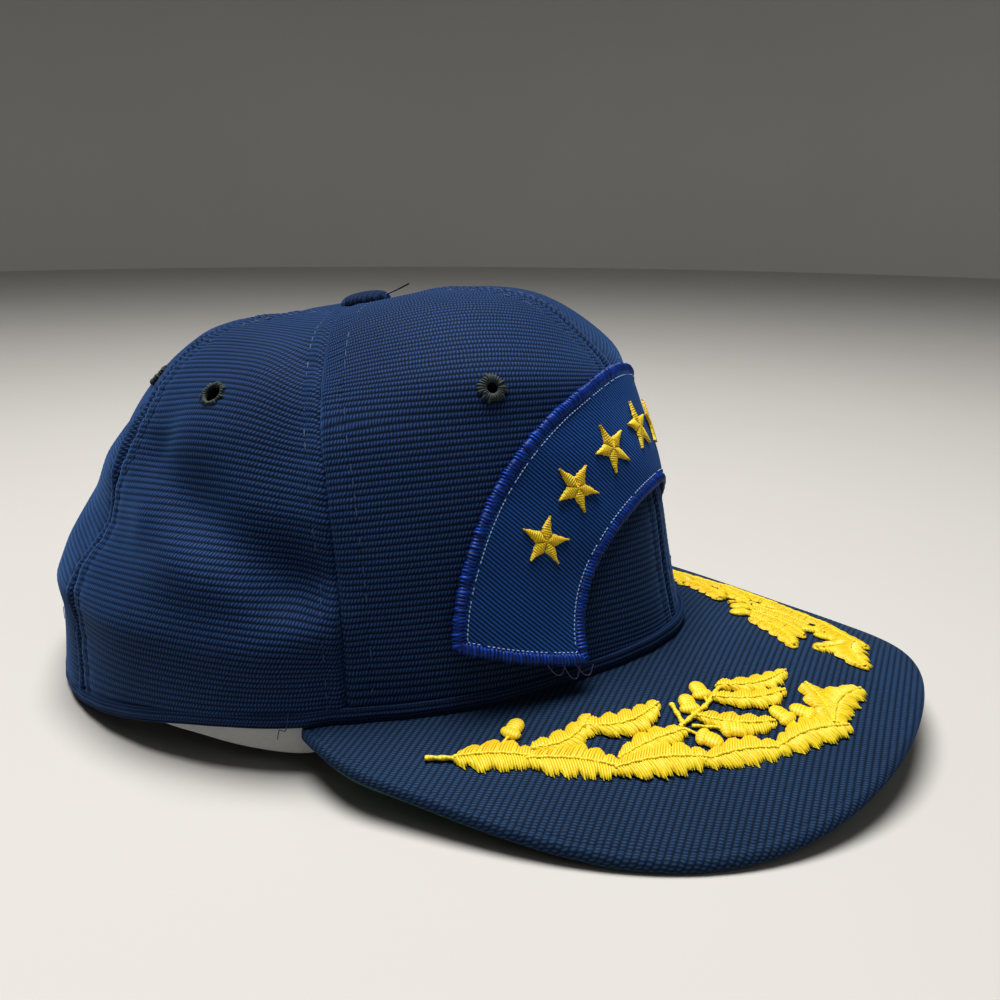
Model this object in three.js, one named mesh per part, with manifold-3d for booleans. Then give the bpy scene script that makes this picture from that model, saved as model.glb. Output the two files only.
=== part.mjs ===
// Six-gore snapback cap with a stiff arched peak, a rocker patch and leaf embroidery.
// Millimetres, +Z up. The peak points to -Y and the wearer's right side is -X.
// The forms are worked out around the upright axis of the top button, with angles
// counted from the front centre towards the wearer's right.

import * as THREE from 'three';
import { mergeVertices } from 'three/addons/utils/BufferGeometryUtils.js';
import Module from 'manifold-3d';

const wasm = await Module();
wasm.setup();

// Driving dimensions of the crown
const frontReach = 97;
const halfWidth = 83.6;
const rearReach = 98;
const crownHeight = 112;
const sideHemHeight = 11.9;
const stiffWall = 1.8;
const softWall = 1.2;
const seamGap = 0.3;
const clearance = 0.3;

// Driving dimensions of the peak
const brimReach = 64.7;
const brimHalfWidth = 86.3;
const brimThickness = 2.2;
const undersideThickness = 1.0;
const undersideInset = 0.9;
const brimTipDrop = 6.2;
const brimSideDrop = 17.9;
const brimFlare = 0.68;
const brimCornerAngle = 72;
const brimTuck = 2.4;

// Driving dimensions of the edges, bands and small pieces
const hemBandHeight = 3.2;
const hemBandProud = 0.8;
const bindingWidth = 3.4;
const bindingProud = 0.6;
const openingHalfWidth = 46;
const openingHeight = 52;
const strapHeight = 19;
const strapThickness = 1.1;
const strapTuck = 12;
const sweatbandHeight = 30;
const sweatbandThickness = 1.2;
const sweatbandShow = 9.2;
const foldWidth = 10;
const foldDepth = 3.4;
const buttonRadius = 7.2;
const buttonHeight = 4.0;
const buttonSeatRadius = 9;
const buttonTilt = 11;
const tipRadius = 3;
const eyeletRadius = 3.3;
const eyeletHoleRadius = 1.3;
const eyeletThickness = 2.8;

// Driving dimensions of the patch and the embroidery
const patchOuterRadius = 73;
const patchInnerRadius = 39.5;
const patchTopHeight = 93;
const patchLegAngle = 8;
const patchInnerLegAngle = 1.5;
const patchThickness = 1.0;
const patchStandoff = 0.6;
const patchLegLift = 5.0;
const patchBorderWidth = 3.0;
const patchBorderThickness = 2.0;
const starRadius = 6.6;
const starThickness = 0.8;
const starWaist = 0.42;
const starCount = 7;
const starPitch = 17.5;
const embroideryThickness = 1.0;
const embroideryShift = 3;

const radians = Math.PI / 180;
const lerp = (a, b, t) => a + (b - a) * t;
const clamp = (x, low, high) => Math.min(high, Math.max(low, x));

// The sweatband hangs inside the strap's ends and the stiff front
const strapInset = softWall + 2 * clearance;
const sweatbandInset = Math.max(stiffWall, strapInset + strapThickness) + clearance;

// A smooth curve through unevenly spaced values
function smooth(knots, values, x) {
  const last = knots.length - 1;
  const i = clamp(knots.findIndex((k) => k > x) - 1, 0, last - 1);
  const at = x >= knots[last] ? last - 1 : i;
  const slope = (j) => {
    const a = Math.max(j - 1, 0);
    const b = Math.min(j + 1, last);
    return (values[b] - values[a]) / (knots[b] - knots[a]);
  };
  const span = knots[at + 1] - knots[at];
  const t = clamp((x - knots[at]) / span, 0, 1);
  const t2 = t * t;
  const t3 = t2 * t;
  return (2 * t3 - 3 * t2 + 1) * values[at] + (t3 - 2 * t2 + t) * span * slope(at)
    + (3 * t2 - 2 * t3) * values[at + 1] + (t3 - t2) * span * slope(at + 1);
}

// Crown sections, one row for each angle: the hem's radius and then stations up the
// cloth, each [radius, height]. Radii are shares of the row's reach and heights are
// shares of the crown's height.
const sections = [
  { angle: 0, reach: frontReach, hem: 1.000, band: [0.979, 0.250], wall: [0.947, 0.371],
    waist: [0.919, 0.498], chest: [0.873, 0.625], shoulder: [0.807, 0.750], brow: [0.732, 0.857],
    crest: [0.536, 0.980], dome: [0.268, 0.999] },
  { angle: 30, reach: frontReach, hem: 0.887, band: [0.882, 0.250], wall: [0.867, 0.375],
    waist: [0.848, 0.500], chest: [0.818, 0.625], shoulder: [0.779, 0.750], brow: [0.728, 0.862],
    crest: [0.510, 0.977], dome: [0.258, 0.990] },
  { angle: 60, reach: halfWidth, hem: 0.958, band: [0.957, 0.250], wall: [0.951, 0.375],
    waist: [0.933, 0.500], chest: [0.895, 0.625], shoulder: [0.831, 0.750], brow: [0.724, 0.857],
    crest: [0.538, 0.948], dome: [0.287, 0.971] },
  { angle: 90, reach: halfWidth, hem: 1.000, band: [1.014, 0.250], wall: [0.981, 0.375],
    waist: [0.937, 0.500], chest: [0.873, 0.625], shoulder: [0.789, 0.750], brow: [0.652, 0.857],
    crest: [0.455, 0.915], dome: [0.239, 0.945] },
  { angle: 120, reach: halfWidth, hem: 1.058, band: [1.055, 0.250], wall: [1.029, 0.375],
    waist: [0.930, 0.482], chest: [0.888, 0.620], shoulder: [0.795, 0.741], brow: [0.648, 0.857],
    crest: [0.485, 0.920], dome: [0.239, 0.940] },
  { angle: 150, reach: rearReach, hem: 0.955, band: [0.950, 0.250], wall: [0.905, 0.366],
    waist: [0.836, 0.496], chest: [0.772, 0.616], shoulder: [0.658, 0.745], brow: [0.530, 0.850],
    crest: [0.385, 0.908], dome: [0.194, 0.926] },
  { angle: 180, reach: rearReach, hem: 1.000, band: [0.990, 0.250], wall: [0.939, 0.375],
    waist: [0.872, 0.491], chest: [0.796, 0.625], shoulder: [0.694, 0.741], brow: [0.561, 0.830],
    crest: [0.388, 0.884], dome: [0.194, 0.922] },
];
const stations = ['band', 'wall', 'waist', 'chest', 'shoulder', 'brow', 'crest', 'dome'];
const stationLevels = [0, 0.105, 0.195, 0.29, 0.385, 0.485, 0.585, 0.715, 0.855, 0.945, 1];
const seatShare = 0.943;

// The hem's height behind the peak's corner, as shares of its height at the side
const sideHem = [
  { angle: 90, height: 1.00 },
  { angle: 100, height: 0.80 },
  { angle: 110, height: 0.56 },
  { angle: 120, height: 0.34 },
  { angle: 130, height: 0.14 },
  { angle: 142, height: 0.04 },
  { angle: 152, height: 0.00 },
  { angle: 180, height: 0.00 },
];

// Seam angles, one row for each seam, from the hem up to the button
const seams = {
  front: { hem: 0, wall: 0, chest: 0, shoulder: 0, crest: 0, tip: 0 },
  side: { hem: 64.3, wall: 64.8, chest: 67, shoulder: 69, crest: 73, tip: 76 },
  back: { hem: 122, wall: 121, chest: 120, shoulder: 120, crest: 121, tip: 122 },
  rear: { hem: 180, wall: 180, chest: 180, shoulder: 180, crest: 180, tip: 180 },
};
const seamLevels = [0, 0.195, 0.385, 0.485, 0.715, 1];

// Folds of the soft cloth, one row each, from one end to the other: angles, heights as shares
// of the crown's height, and width and depth as shares of the widest and deepest fold's
const folds = [
  { fromAngle: 76, fromHeight: 0.86, toAngle: 74, toHeight: 0.42, width: 0.7, depth: 0.76 },
  { fromAngle: 109, fromHeight: 0.66, toAngle: 72, toHeight: 0.43, width: 0.9, depth: 1.0 },
  { fromAngle: 104, fromHeight: 0.53, toAngle: 70, toHeight: 0.36, width: 0.8, depth: -0.65 },
  { fromAngle: 132, fromHeight: 0.31, toAngle: 78, toHeight: 0.30, width: 0.6, depth: -0.35 },
  { fromAngle: 140, fromHeight: 0.72, toAngle: 158, toHeight: 0.50, width: 1.2, depth: 0.74 },
];

const sectionAngles = sections.map((row) => row.angle);
const mirroredAngles = [-sectionAngles[1], ...sectionAngles, 360 - sectionAngles[sections.length - 2]];

function roundCrown(values, angle) {
  return smooth(mirroredAngles, [values[1], ...values, values[values.length - 2]], angle);
}

function hemRadius(angle) {
  return roundCrown(sections.map((row) => row.hem * row.reach), Math.abs(angle));
}

// The peak's upper surface, from its drop below the front centre of the hem. The nose's drop
// begins as a slope and ends as a curve.
const noseSlopeShare = 0.255;

function brimDrop(x, y) {
  const out = (-y - frontReach) / brimReach;
  const across = x / brimHalfWidth;
  const flare = 1 + brimFlare * clamp(out, -1, 1.1);
  return brimTipDrop * out * lerp(noseSlopeShare, 1, out) + brimSideDrop * flare * across * across;
}

function superPower(value, exponent) {
  return Math.sign(value) * Math.abs(value) ** (2 / exponent);
}

// The peak's outer edge: a full front curve and a side that runs in to the corner
const brimFrontStart = 0.515;
const brimFrontPower = 3.03;
const brimSidePower = 2.12;
const brimFrontSweep = 0.84;

function polar(radius, angle) {
  return new THREE.Vector2(-radius * Math.sin(angle * radians), -radius * Math.cos(angle * radians));
}

function brimOutline(turn) {
  const frontStart = frontReach * brimFrontStart;
  const corner = polar(hemRadius(brimCornerAngle) + 2 * clearance, brimCornerAngle);
  const side = Math.sign(turn);
  const sweep = Math.abs(turn);
  if (sweep <= brimFrontSweep) {
    const t = (sweep / brimFrontSweep) * Math.PI / 2;
    const out = frontStart + (frontReach + brimReach - frontStart) * superPower(Math.cos(t), brimFrontPower);
    const across = brimHalfWidth * superPower(Math.sin(t), brimSidePower);
    return new THREE.Vector2(-side * across, -out);
  }
  const t = (sweep - brimFrontSweep) / (1 - brimFrontSweep);
  const out = lerp(frontStart, -corner.y, t);
  const across = brimHalfWidth - (brimHalfWidth + corner.x) * t * t;
  return new THREE.Vector2(-side * across, -out);
}

// A point of the peak's outline from above, from its tucked inner edge to its outer edge
function brimFoot(turn, rise, inset) {
  const outer = brimOutline(turn);
  const angle = turn * brimCornerAngle;
  const inner = polar(hemRadius(angle) - brimTuck, angle);
  const keep = 1 - inset / outer.distanceTo(inner);
  return inner.lerp(outer, rise * keep);
}

// The peak's lowest edge stands on the table, and so does the rear hem
const brimStack = brimThickness + clearance + undersideThickness;
function lowestBrimDrop() {
  let deepest = 0;
  for (let i = 0; i <= 200; i += 1) {
    const edge = brimFoot(i / 200, 1, 0);
    const under = brimFoot(i / 200, 1, undersideInset);
    const clothDrop = brimDrop(edge.x, edge.y) + brimThickness;
    deepest = Math.max(deepest, clothDrop, brimDrop(under.x, under.y) + brimStack);
  }
  return deepest;
}
const brimRootHeight = lowestBrimDrop();

function brimTop(x, y) {
  return brimRootHeight - brimDrop(x, y);
}

// The slightly tilted seat of the top button
function seatHeight(forward) {
  return seatShare * crownHeight + forward * Math.tan(buttonTilt * radians);
}

function hemHeight(angle) {
  const turn = Math.abs(angle);
  const corner = polar(hemRadius(brimCornerAngle), brimCornerAngle);
  const cornerHeight = brimTop(corner.x, corner.y) + 2 * clearance;
  if (turn <= brimCornerAngle) {
    const foot = polar(hemRadius(turn), turn);
    return brimTop(foot.x, foot.y) + 2 * clearance;
  }
  const angles = [brimCornerAngle, ...sideHem.map((row) => row.angle)];
  const heights = [cornerHeight, ...sideHem.map((row) => row.height * sideHemHeight)];
  return smooth(angles, heights, turn);
}

function seamAngle(seam, level) {
  return smooth(seamLevels, Object.values(seam), level);
}

// The smooth crown before its folds: radius and height at an angle and a level
function meridian(angle, level) {
  const turn = Math.abs(angle);
  const radii = [hemRadius(turn)];
  const heights = [hemHeight(turn)];
  for (const station of stations) {
    radii.push(roundCrown(sections.map((row) => row[station][0] * row.reach), turn));
    heights.push(roundCrown(sections.map((row) => row[station][1] * crownHeight), turn));
  }
  for (const radius of [buttonSeatRadius, tipRadius]) {
    radii.push(radius);
    heights.push(seatHeight(radius * Math.cos(turn * radians)));
  }
  const radius = smooth(stationLevels, radii, level);
  if (radius < buttonSeatRadius) return [radius, seatHeight(radius * Math.cos(turn * radians))];
  return [radius, smooth(stationLevels, heights, level)];
}

const meridianCache = new Map();
function cachedMeridian(angle, level) {
  const key = `${angle.toFixed(4)} ${level.toFixed(5)}`;
  if (!meridianCache.has(key)) meridianCache.set(key, meridian(angle, level));
  return meridianCache.get(key);
}

function smoothCrown(angle, level) {
  const [radius, height] = cachedMeridian(angle, level);
  const foot = polar(radius, angle);
  return new THREE.Vector3(foot.x, foot.y, height);
}

function smoothNormal(angle, level) {
  const step = 0.5;
  const rise = 0.006;
  const low = clamp(level - rise, 0, 1);
  const high = clamp(level + rise, 0, 1);
  const across = smoothCrown(angle + step, level).sub(smoothCrown(angle - step, level));
  const up = smoothCrown(angle, high).sub(smoothCrown(angle, low));
  return up.cross(across).normalize();
}

function foldAt(angle, level) {
  const [radius, height] = cachedMeridian(angle, level);
  let depth = 0;
  for (const fold of folds) {
    const along = new THREE.Vector2((fold.toAngle - fold.fromAngle) * radians * radius,
      (fold.toHeight - fold.fromHeight) * crownHeight);
    const here = new THREE.Vector2((Math.abs(angle) - fold.fromAngle) * radians * radius,
      height - fold.fromHeight * crownHeight);
    const t = clamp(here.dot(along) / along.lengthSq(), 0, 1);
    const distance = here.distanceTo(along.multiplyScalar(t));
    depth += fold.depth * foldDepth * Math.exp(-((distance / (fold.width * foldWidth)) ** 2));
  }
  return depth;
}

// The crown's outer surface with its folds, moved inwards by an inset
function crownPoint(angle, level, inset = 0) {
  return smoothCrown(angle, level)
    .addScaledVector(smoothNormal(angle, level), -inset - foldAt(angle, level));
}

// The level at which the crown reaches a height
function levelAt(angle, height) {
  let low = 0;
  let high = 0.7;
  for (let i = 0; i < 30; i += 1) {
    const middle = (low + high) / 2;
    if (cachedMeridian(angle, middle)[1] < height) low = middle;
    else high = middle;
  }
  return (low + high) / 2;
}

// Closed solids from grids of points
function closedMesh(points, quads) {
  const positions = [];
  for (const p of points) positions.push(p.x, p.y, p.z);
  const index = [];
  for (const [a, b, c, d] of quads) {
    index.push(a, b, c);
    if (d !== undefined) index.push(a, c, d);
  }
  let volume = 0;
  for (let i = 0; i < index.length; i += 3) {
    const [a, b, c] = [points[index[i]], points[index[i + 1]], points[index[i + 2]]];
    volume += a.dot(b.clone().cross(c)) / 6;
  }
  if (volume < 0) {
    for (let i = 0; i < index.length; i += 3) {
      [index[i + 1], index[i + 2]] = [index[i + 2], index[i + 1]];
    }
  }
  const geometry = new THREE.BufferGeometry();
  geometry.setAttribute('position', new THREE.Float32BufferAttribute(positions, 3));
  geometry.setIndex(index);
  geometry.computeVertexNormals();
  return geometry;
}

// A sheet with a front face, a back face and closed edges
function sheet(front, back, columns, rows) {
  const points = [];
  for (const face of [front, back]) {
    for (let i = 0; i <= columns; i += 1) {
      for (let j = 0; j <= rows; j += 1) points.push(face(i / columns, j / rows));
    }
  }
  const side = (columns + 1) * (rows + 1);
  const at = (i, j) => i * (rows + 1) + j;
  const quads = [];
  for (let i = 0; i < columns; i += 1) {
    for (let j = 0; j < rows; j += 1) {
      const quad = [at(i, j), at(i + 1, j), at(i + 1, j + 1), at(i, j + 1)];
      quads.push(quad, [quad[1] + side, quad[0] + side, quad[3] + side, quad[2] + side]);
    }
  }
  for (let i = 0; i < columns; i += 1) {
    quads.push([at(i + 1, 0), at(i, 0), at(i, 0) + side, at(i + 1, 0) + side]);
    quads.push([at(i, rows), at(i + 1, rows), at(i + 1, rows) + side, at(i, rows) + side]);
  }
  for (let j = 0; j < rows; j += 1) {
    quads.push([at(0, j), at(0, j + 1), at(0, j + 1) + side, at(0, j) + side]);
    quads.push([at(columns, j + 1), at(columns, j), at(columns, j) + side, at(columns, j + 1) + side]);
  }
  return closedMesh(points, quads);
}

// A bar of a given section along stations, each {point, out, up}
function bar(path, section, closed) {
  const points = [];
  for (const { point, out, up } of path) {
    for (const [a, b] of section) {
      points.push(point.clone().addScaledVector(out, a).addScaledVector(up, b));
    }
  }
  const n = section.length;
  const quads = [];
  const steps = closed ? path.length : path.length - 1;
  for (let i = 0; i < steps; i += 1) {
    const next = ((i + 1) % path.length) * n;
    for (let j = 0; j < n; j += 1) {
      const k = (j + 1) % n;
      quads.push([i * n + j, next + j, next + k, i * n + k]);
    }
  }
  if (!closed) {
    const end = (path.length - 1) * n;
    for (let j = 1; j < n - 1; j += 2) {
      const k = Math.min(j + 2, n - 1);
      quads.push([0, j, j + 1, k], [end, end + k, end + j + 1, end + j]);
    }
  }
  return closedMesh(points, quads);
}

// A rounded section of a rolled cloth edge
function rolledSection(inside, outside, height) {
  const corner = 0.28 * height;
  const half = height / 2;
  return [
    [-inside, -half], [outside - corner, -half], [outside, -half + corner],
    [outside, half - corner], [outside - corner, half], [-inside, half],
  ];
}

function toSolid(geometry) {
  const bare = geometry.clone();
  bare.deleteAttribute('normal');
  bare.deleteAttribute('uv');
  const merged = mergeVertices(bare, 1e-5);
  return new wasm.Manifold(new wasm.Mesh({
    numProp: 3,
    vertProperties: new Float32Array(merged.attributes.position.array),
    triVerts: new Uint32Array(merged.index.array),
  }));
}

function fromSolid(solid) {
  const mesh = solid.getMesh();
  const geometry = new THREE.BufferGeometry();
  geometry.setAttribute('position', new THREE.BufferAttribute(new Float32Array(mesh.vertProperties), 3));
  geometry.setIndex(new THREE.BufferAttribute(new Uint32Array(mesh.triVerts), 1));
  geometry.computeVertexNormals();
  return geometry;
}

// The gores, one row each: its seams, its wall, its eyelet's share across and level, and its columns
function eyeletFrame(side, row) {
  const level = row.eyeletLevel;
  const angle = side * lerp(seamAngle(row.from, level), seamAngle(row.to, level), row.eyeletShare);
  const point = crownPoint(angle, level);
  const step = 2;
  const across = crownPoint(angle + step, level).sub(crownPoint(angle - step, level));
  const up = crownPoint(angle, level + 0.02).sub(crownPoint(angle, level - 0.02));
  return { point, normal: up.cross(across).normalize() };
}

function placedAlong(geometry, point, normal) {
  const turn = new THREE.Quaternion().setFromUnitVectors(new THREE.Vector3(0, 1, 0), normal);
  return geometry.applyQuaternion(turn).translate(point.x, point.y, point.z);
}

// The half-moon opening: its edge height at a distance from the rear centre
const openingPower = 2.2;

function openingEdge(distance, grow) {
  const share = Math.abs(distance) / (openingHalfWidth + grow);
  if (share >= 1) return 0;
  return (openingHeight + grow) * (1 - share ** openingPower) ** (1 / openingPower);
}

function goreLower(angle) {
  const hem = hemHeight(angle) + hemBandHeight + clearance;
  const distance = (180 - Math.abs(angle)) * radians * rearReach;
  return Math.max(hem, openingEdge(distance, bindingWidth + clearance));
}

function gore(side, row) {
  const { from: frontSeam, to: rearSeam, wall, shares } = row;
  const rows = 12;
  const halfGap = seamGap / 2;
  const angleAt = (share, level) => {
    const radius = cachedMeridian(seamAngle(frontSeam, level), level)[0];
    const back = cachedMeridian(seamAngle(rearSeam, level), level)[0];
    const from = seamAngle(frontSeam, level) + halfGap / radius / radians;
    const to = seamAngle(rearSeam, level) - halfGap / back / radians;
    return lerp(from, to, share);
  };
  const lowest = shares.map((share) => {
    let level = 0;
    for (let i = 0; i < 6; i += 1) {
      const angle = angleAt(share, level);
      level = levelAt(angle, goreLower(angle));
    }
    return level;
  });
  const columns = shares.length - 1;
  const place = (i, j, inset) => {
    const column = Math.round(i * columns);
    const level = lerp(lowest[column], 1, j ** 1.1);
    return crownPoint(side * angleAt(shares[column], level), level, inset);
  };
  const cloth = sheet((i, j) => place(i, j, 0), (i, j) => place(i, j, wall), columns, rows);
  const frame = eyeletFrame(side, row);
  const drill = placedAlong(new THREE.CylinderGeometry(eyeletRadius + clearance, eyeletRadius + clearance,
    12, 12), frame.point, frame.normal);
  return fromSolid(toSolid(cloth).subtract(toSolid(drill)));
}

function evenShares(count) {
  return Array.from({ length: count + 1 }, (_, i) => i / count);
}

// Columns of the rear gore crowd together at the foot of the opening
function rearShares() {
  const foot = 180 - (openingHalfWidth + bindingWidth + clearance) / rearReach / radians;
  const start = seams.back.hem;
  const footShare = (foot - start) / (180 - start);
  const outside = [0, 0.33, 0.66, 0.97].map((t) => t * footShare);
  const inside = evenShares(7).map((t) => footShare + (1 - footShare) * (1 - Math.cos(t * Math.PI / 2)));
  return [...outside, ...inside];
}

function eyelet(side, row) {
  const half = eyeletThickness / 2;
  const middle = (eyeletRadius + eyeletHoleRadius) / 2;
  const profile = [
    [eyeletHoleRadius, 0], [middle, -half], [eyeletRadius, -0.5],
    [eyeletRadius, 0.5], [middle, half], [eyeletHoleRadius, 0],
  ].map(([r, y]) => new THREE.Vector2(r, y));
  const frame = eyeletFrame(side, row);
  const seat = frame.point.clone().addScaledVector(frame.normal, -0.4);
  return placedAlong(new THREE.LatheGeometry(profile, 10), seat, frame.normal);
}

// Edges of the crown
function hemBand() {
  const foot = 180 - (openingHalfWidth + bindingWidth + clearance) / rearReach / radians;
  const count = 60;
  const path = evenShares(count).map((share) => {
    const angle = lerp(-foot, foot, share);
    const out = polar(1, angle);
    const slope = hemRadius(angle + 1) - hemRadius(angle - 1);
    const normal = new THREE.Vector3(out.x, out.y, 0);
    const across = new THREE.Vector3(-out.y, out.x, 0);
    normal.addScaledVector(across, slope / (2 * radians * hemRadius(angle))).normalize();
    const point = new THREE.Vector3(out.x, out.y, 0).multiplyScalar(hemRadius(angle));
    point.z = hemHeight(angle) + hemBandHeight / 2;
    return { point, out: normal, up: new THREE.Vector3(0, 0, 1) };
  });
  return bar(path, rolledSection(softWall, hemBandProud, hemBandHeight), false);
}

function openingBinding() {
  const count = 24;
  const grow = bindingWidth / 2;
  const arch = evenShares(count).map((share) => {
    const t = Math.PI * share;
    const distance = (openingHalfWidth + grow) * superPower(Math.cos(t), openingPower);
    const height = Math.max((openingHeight + grow) * superPower(Math.sin(t), openingPower), clearance);
    const angle = 180 - distance / rearReach / radians;
    const turned = angle > 180 ? angle - 360 : angle;
    const level = levelAt(Math.abs(turned), height);
    const point = crownPoint(turned, level);
    point.z = Math.max(point.z, 0);
    return { point, out: smoothNormal(turned, level) };
  });
  const path = arch.map((stop, i) => {
    const before = arch[Math.max(i - 1, 0)].point;
    const after = arch[Math.min(i + 1, count)].point;
    const along = after.clone().sub(before).normalize();
    const up = along.clone().cross(stop.out).normalize();
    return { point: stop.point, out: up.clone().cross(along).normalize(), up };
  });
  return bar(path, rolledSection(softWall, bindingProud, bindingWidth), false);
}

function rearStrap() {
  const reach = openingHalfWidth + bindingWidth + strapTuck;
  const columns = 20;
  const place = (share, rise, depth) => {
    const angle = 180 + lerp(-reach, reach, share) / rearReach / radians;
    const turned = angle > 180 ? angle - 360 : angle;
    const height = rise * strapHeight;
    const skin = smoothCrown(turned, levelAt(turned, height));
    const foot = polar(Math.hypot(skin.x, skin.y) - strapInset - depth, turned);
    return new THREE.Vector3(foot.x, foot.y, height);
  };
  return sheet((i, j) => place(i, j, 0), (i, j) => place(i, j, strapThickness), columns, 1);
}

// How far the sweatband's lower edge hangs below the crown's hem, as shares of its most
const sweatbandDrop = [
  { angle: 0, drop: 0.37 },
  { angle: 40, drop: 0.49 },
  { angle: 70, drop: 1.00 },
  { angle: 82, drop: 0.83 },
  { angle: 95, drop: 0.43 },
  { angle: 108, drop: 0.02 },
  { angle: 125, drop: -0.11 },
  { angle: 180, drop: -0.11 },
];

function sweatband() {
  const end = 180 - (openingHalfWidth + bindingWidth) / rearReach / radians;
  const angles = sweatbandDrop.map((row) => row.angle);
  const drops = sweatbandDrop.map((row) => row.drop * sweatbandShow);
  const place = (share, rise, depth) => {
    const angle = lerp(-end, end, share);
    const turn = Math.abs(angle);
    const low = Math.max(hemHeight(turn) - smooth(angles, drops, turn), clearance);
    const height = lerp(low, hemHeight(turn) + sweatbandHeight, rise);
    const level = levelAt(turn, Math.max(height, hemHeight(turn)));
    const point = crownPoint(angle, level);
    const radius = Math.hypot(point.x, point.y) - sweatbandInset - depth;
    const foot = polar(radius, angle);
    return new THREE.Vector3(foot.x, foot.y, height);
  };
  return sheet((i, j) => place(i, j, 0), (i, j) => place(i, j, sweatbandThickness), 34, 3);
}

// The peak and its underside
function brimSheet(topOffset, bottomOffset, inset) {
  const place = (share, rise, drop) => {
    const foot = brimFoot(lerp(-1, 1, share), rise, inset);
    return new THREE.Vector3(foot.x, foot.y, brimTop(foot.x, foot.y) - drop);
  };
  return sheet((i, j) => place(i, j, topOffset), (i, j) => place(i, j, bottomOffset), 36, 4);
}

function brim() {
  return brimSheet(0, brimThickness, 0);
}

function brimUnderside() {
  return brimSheet(brimThickness + clearance, brimStack, undersideInset);
}

function crownButton() {
  const profile = [
    [0, 0], [0.8, 0], [1, 0.25], [0.98, 0.6], [0.8, 0.86], [0.45, 0.98], [0, 1],
  ].map(([r, y]) => new THREE.Vector2(r * buttonRadius, y * buttonHeight));
  const geometry = new THREE.LatheGeometry(profile, 16);
  return geometry.rotateX(Math.PI / 2 - buttonTilt * radians).translate(0, 0, seatHeight(0) + clearance);
}

// The patch: an arched strip, laid flat around its own centre and bent over the front
const patchLean = 0.947;
const patchLegStart = 45;
const outerLiftShare = 0.6;

function angleAtDistance(distance, height) {
  const step = 1.5;
  let angle = 0;
  let gone = 0;
  let from = smoothCrown(0, levelAt(0, height));
  while (gone < Math.abs(distance) && angle < 90) {
    const to = smoothCrown(angle + step, levelAt(angle + step, height));
    const stride = Math.hypot(to.x - from.x, to.y - from.y);
    const short = Math.abs(distance) - gone;
    if (stride >= short) return Math.sign(distance) * (angle + step * short / stride);
    gone += stride;
    angle += step;
    from = to;
  }
  return Math.sign(distance) * angle;
}

// A point of the patch from its radius, its turn from the top and its depth below the face
function patchPoint(radius, turn, depth) {
  const distance = radius * Math.sin(turn * radians);
  const drop = patchOuterRadius - radius * Math.cos(turn * radians);
  const height = patchTopHeight - drop * patchLean;
  const angle = angleAtDistance(distance, height);
  const level = levelAt(angle, height);
  const legShare = clamp((Math.abs(turn) - patchLegStart) / (patchStop(radius, 0) - patchLegStart), 0, 1);
  const innerShare = (patchOuterRadius - radius) / (patchOuterRadius - patchInnerRadius);
  const lift = patchStandoff + patchLegLift * legShare * legShare * lerp(outerLiftShare, 1, innerShare);
  return smoothCrown(angle, level)
    .addScaledVector(smoothNormal(angle, level), lift + patchThickness - depth);
}

// The turn at which a leg of the patch ends, less an inset
function patchStop(radius, inset) {
  const share = (radius - patchInnerRadius) / (patchOuterRadius - patchInnerRadius);
  return 90 - lerp(patchInnerLegAngle, patchLegAngle, share) - inset / radius / radians;
}

function patchBase() {
  const inset = patchBorderWidth + 2 * clearance;
  const place = (share, rise, depth) => {
    const radius = lerp(patchInnerRadius + inset, patchOuterRadius - inset, rise);
    const stop = patchStop(radius, inset);
    return patchPoint(radius, lerp(-stop, stop, share), depth);
  };
  return sheet((i, j) => place(i, j, 0), (i, j) => place(i, j, patchThickness), 26, 3);
}

function patchBorder() {
  const half = patchBorderWidth / 2;
  const [low, high] = [patchInnerRadius + half, patchOuterRadius - half];
  const stopAt = (radius) => patchStop(radius, half);
  const route = [];
  const arc = (radius, from, to, count) => {
    for (let i = 0; i <= count; i += 1) route.push([radius, lerp(from, to, i / count)]);
  };
  arc(high, -stopAt(high), stopAt(high), 24);
  route.push([lerp(low, high, 0.5), stopAt(lerp(low, high, 0.5))]);
  arc(low, stopAt(low), -stopAt(low), 16);
  route.push([lerp(low, high, 0.5), -stopAt(lerp(low, high, 0.5))]);
  const middleDepth = patchThickness / 2;
  const spots = route.map(([radius, turn]) => patchPoint(radius, turn, middleDepth));
  const path = spots.map((point, i) => {
    const [radius, turn] = route[i];
    const out = patchPoint(radius, turn, middleDepth - 1).sub(point).normalize();
    const before = spots[(i + spots.length - 1) % spots.length];
    const after = spots[(i + 1) % spots.length];
    const first = point.clone().sub(before).normalize();
    const second = after.clone().sub(point).normalize();
    const along = first.clone().add(second).normalize();
    const stretch = 1 / Math.max(along.dot(second), 0.5);
    return { point, out, up: out.clone().cross(along).normalize().multiplyScalar(stretch) };
  });
  const back = -middleDepth;
  const top = patchBorderThickness - middleDepth;
  const shoulder = lerp(back, top, 0.75);
  const section = [[back, -half], [shoulder, -half], [top, -0.4 * half], [top, 0.4 * half], [shoulder, half],
    [back, half]];
  return bar(path, section, true);
}

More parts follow.
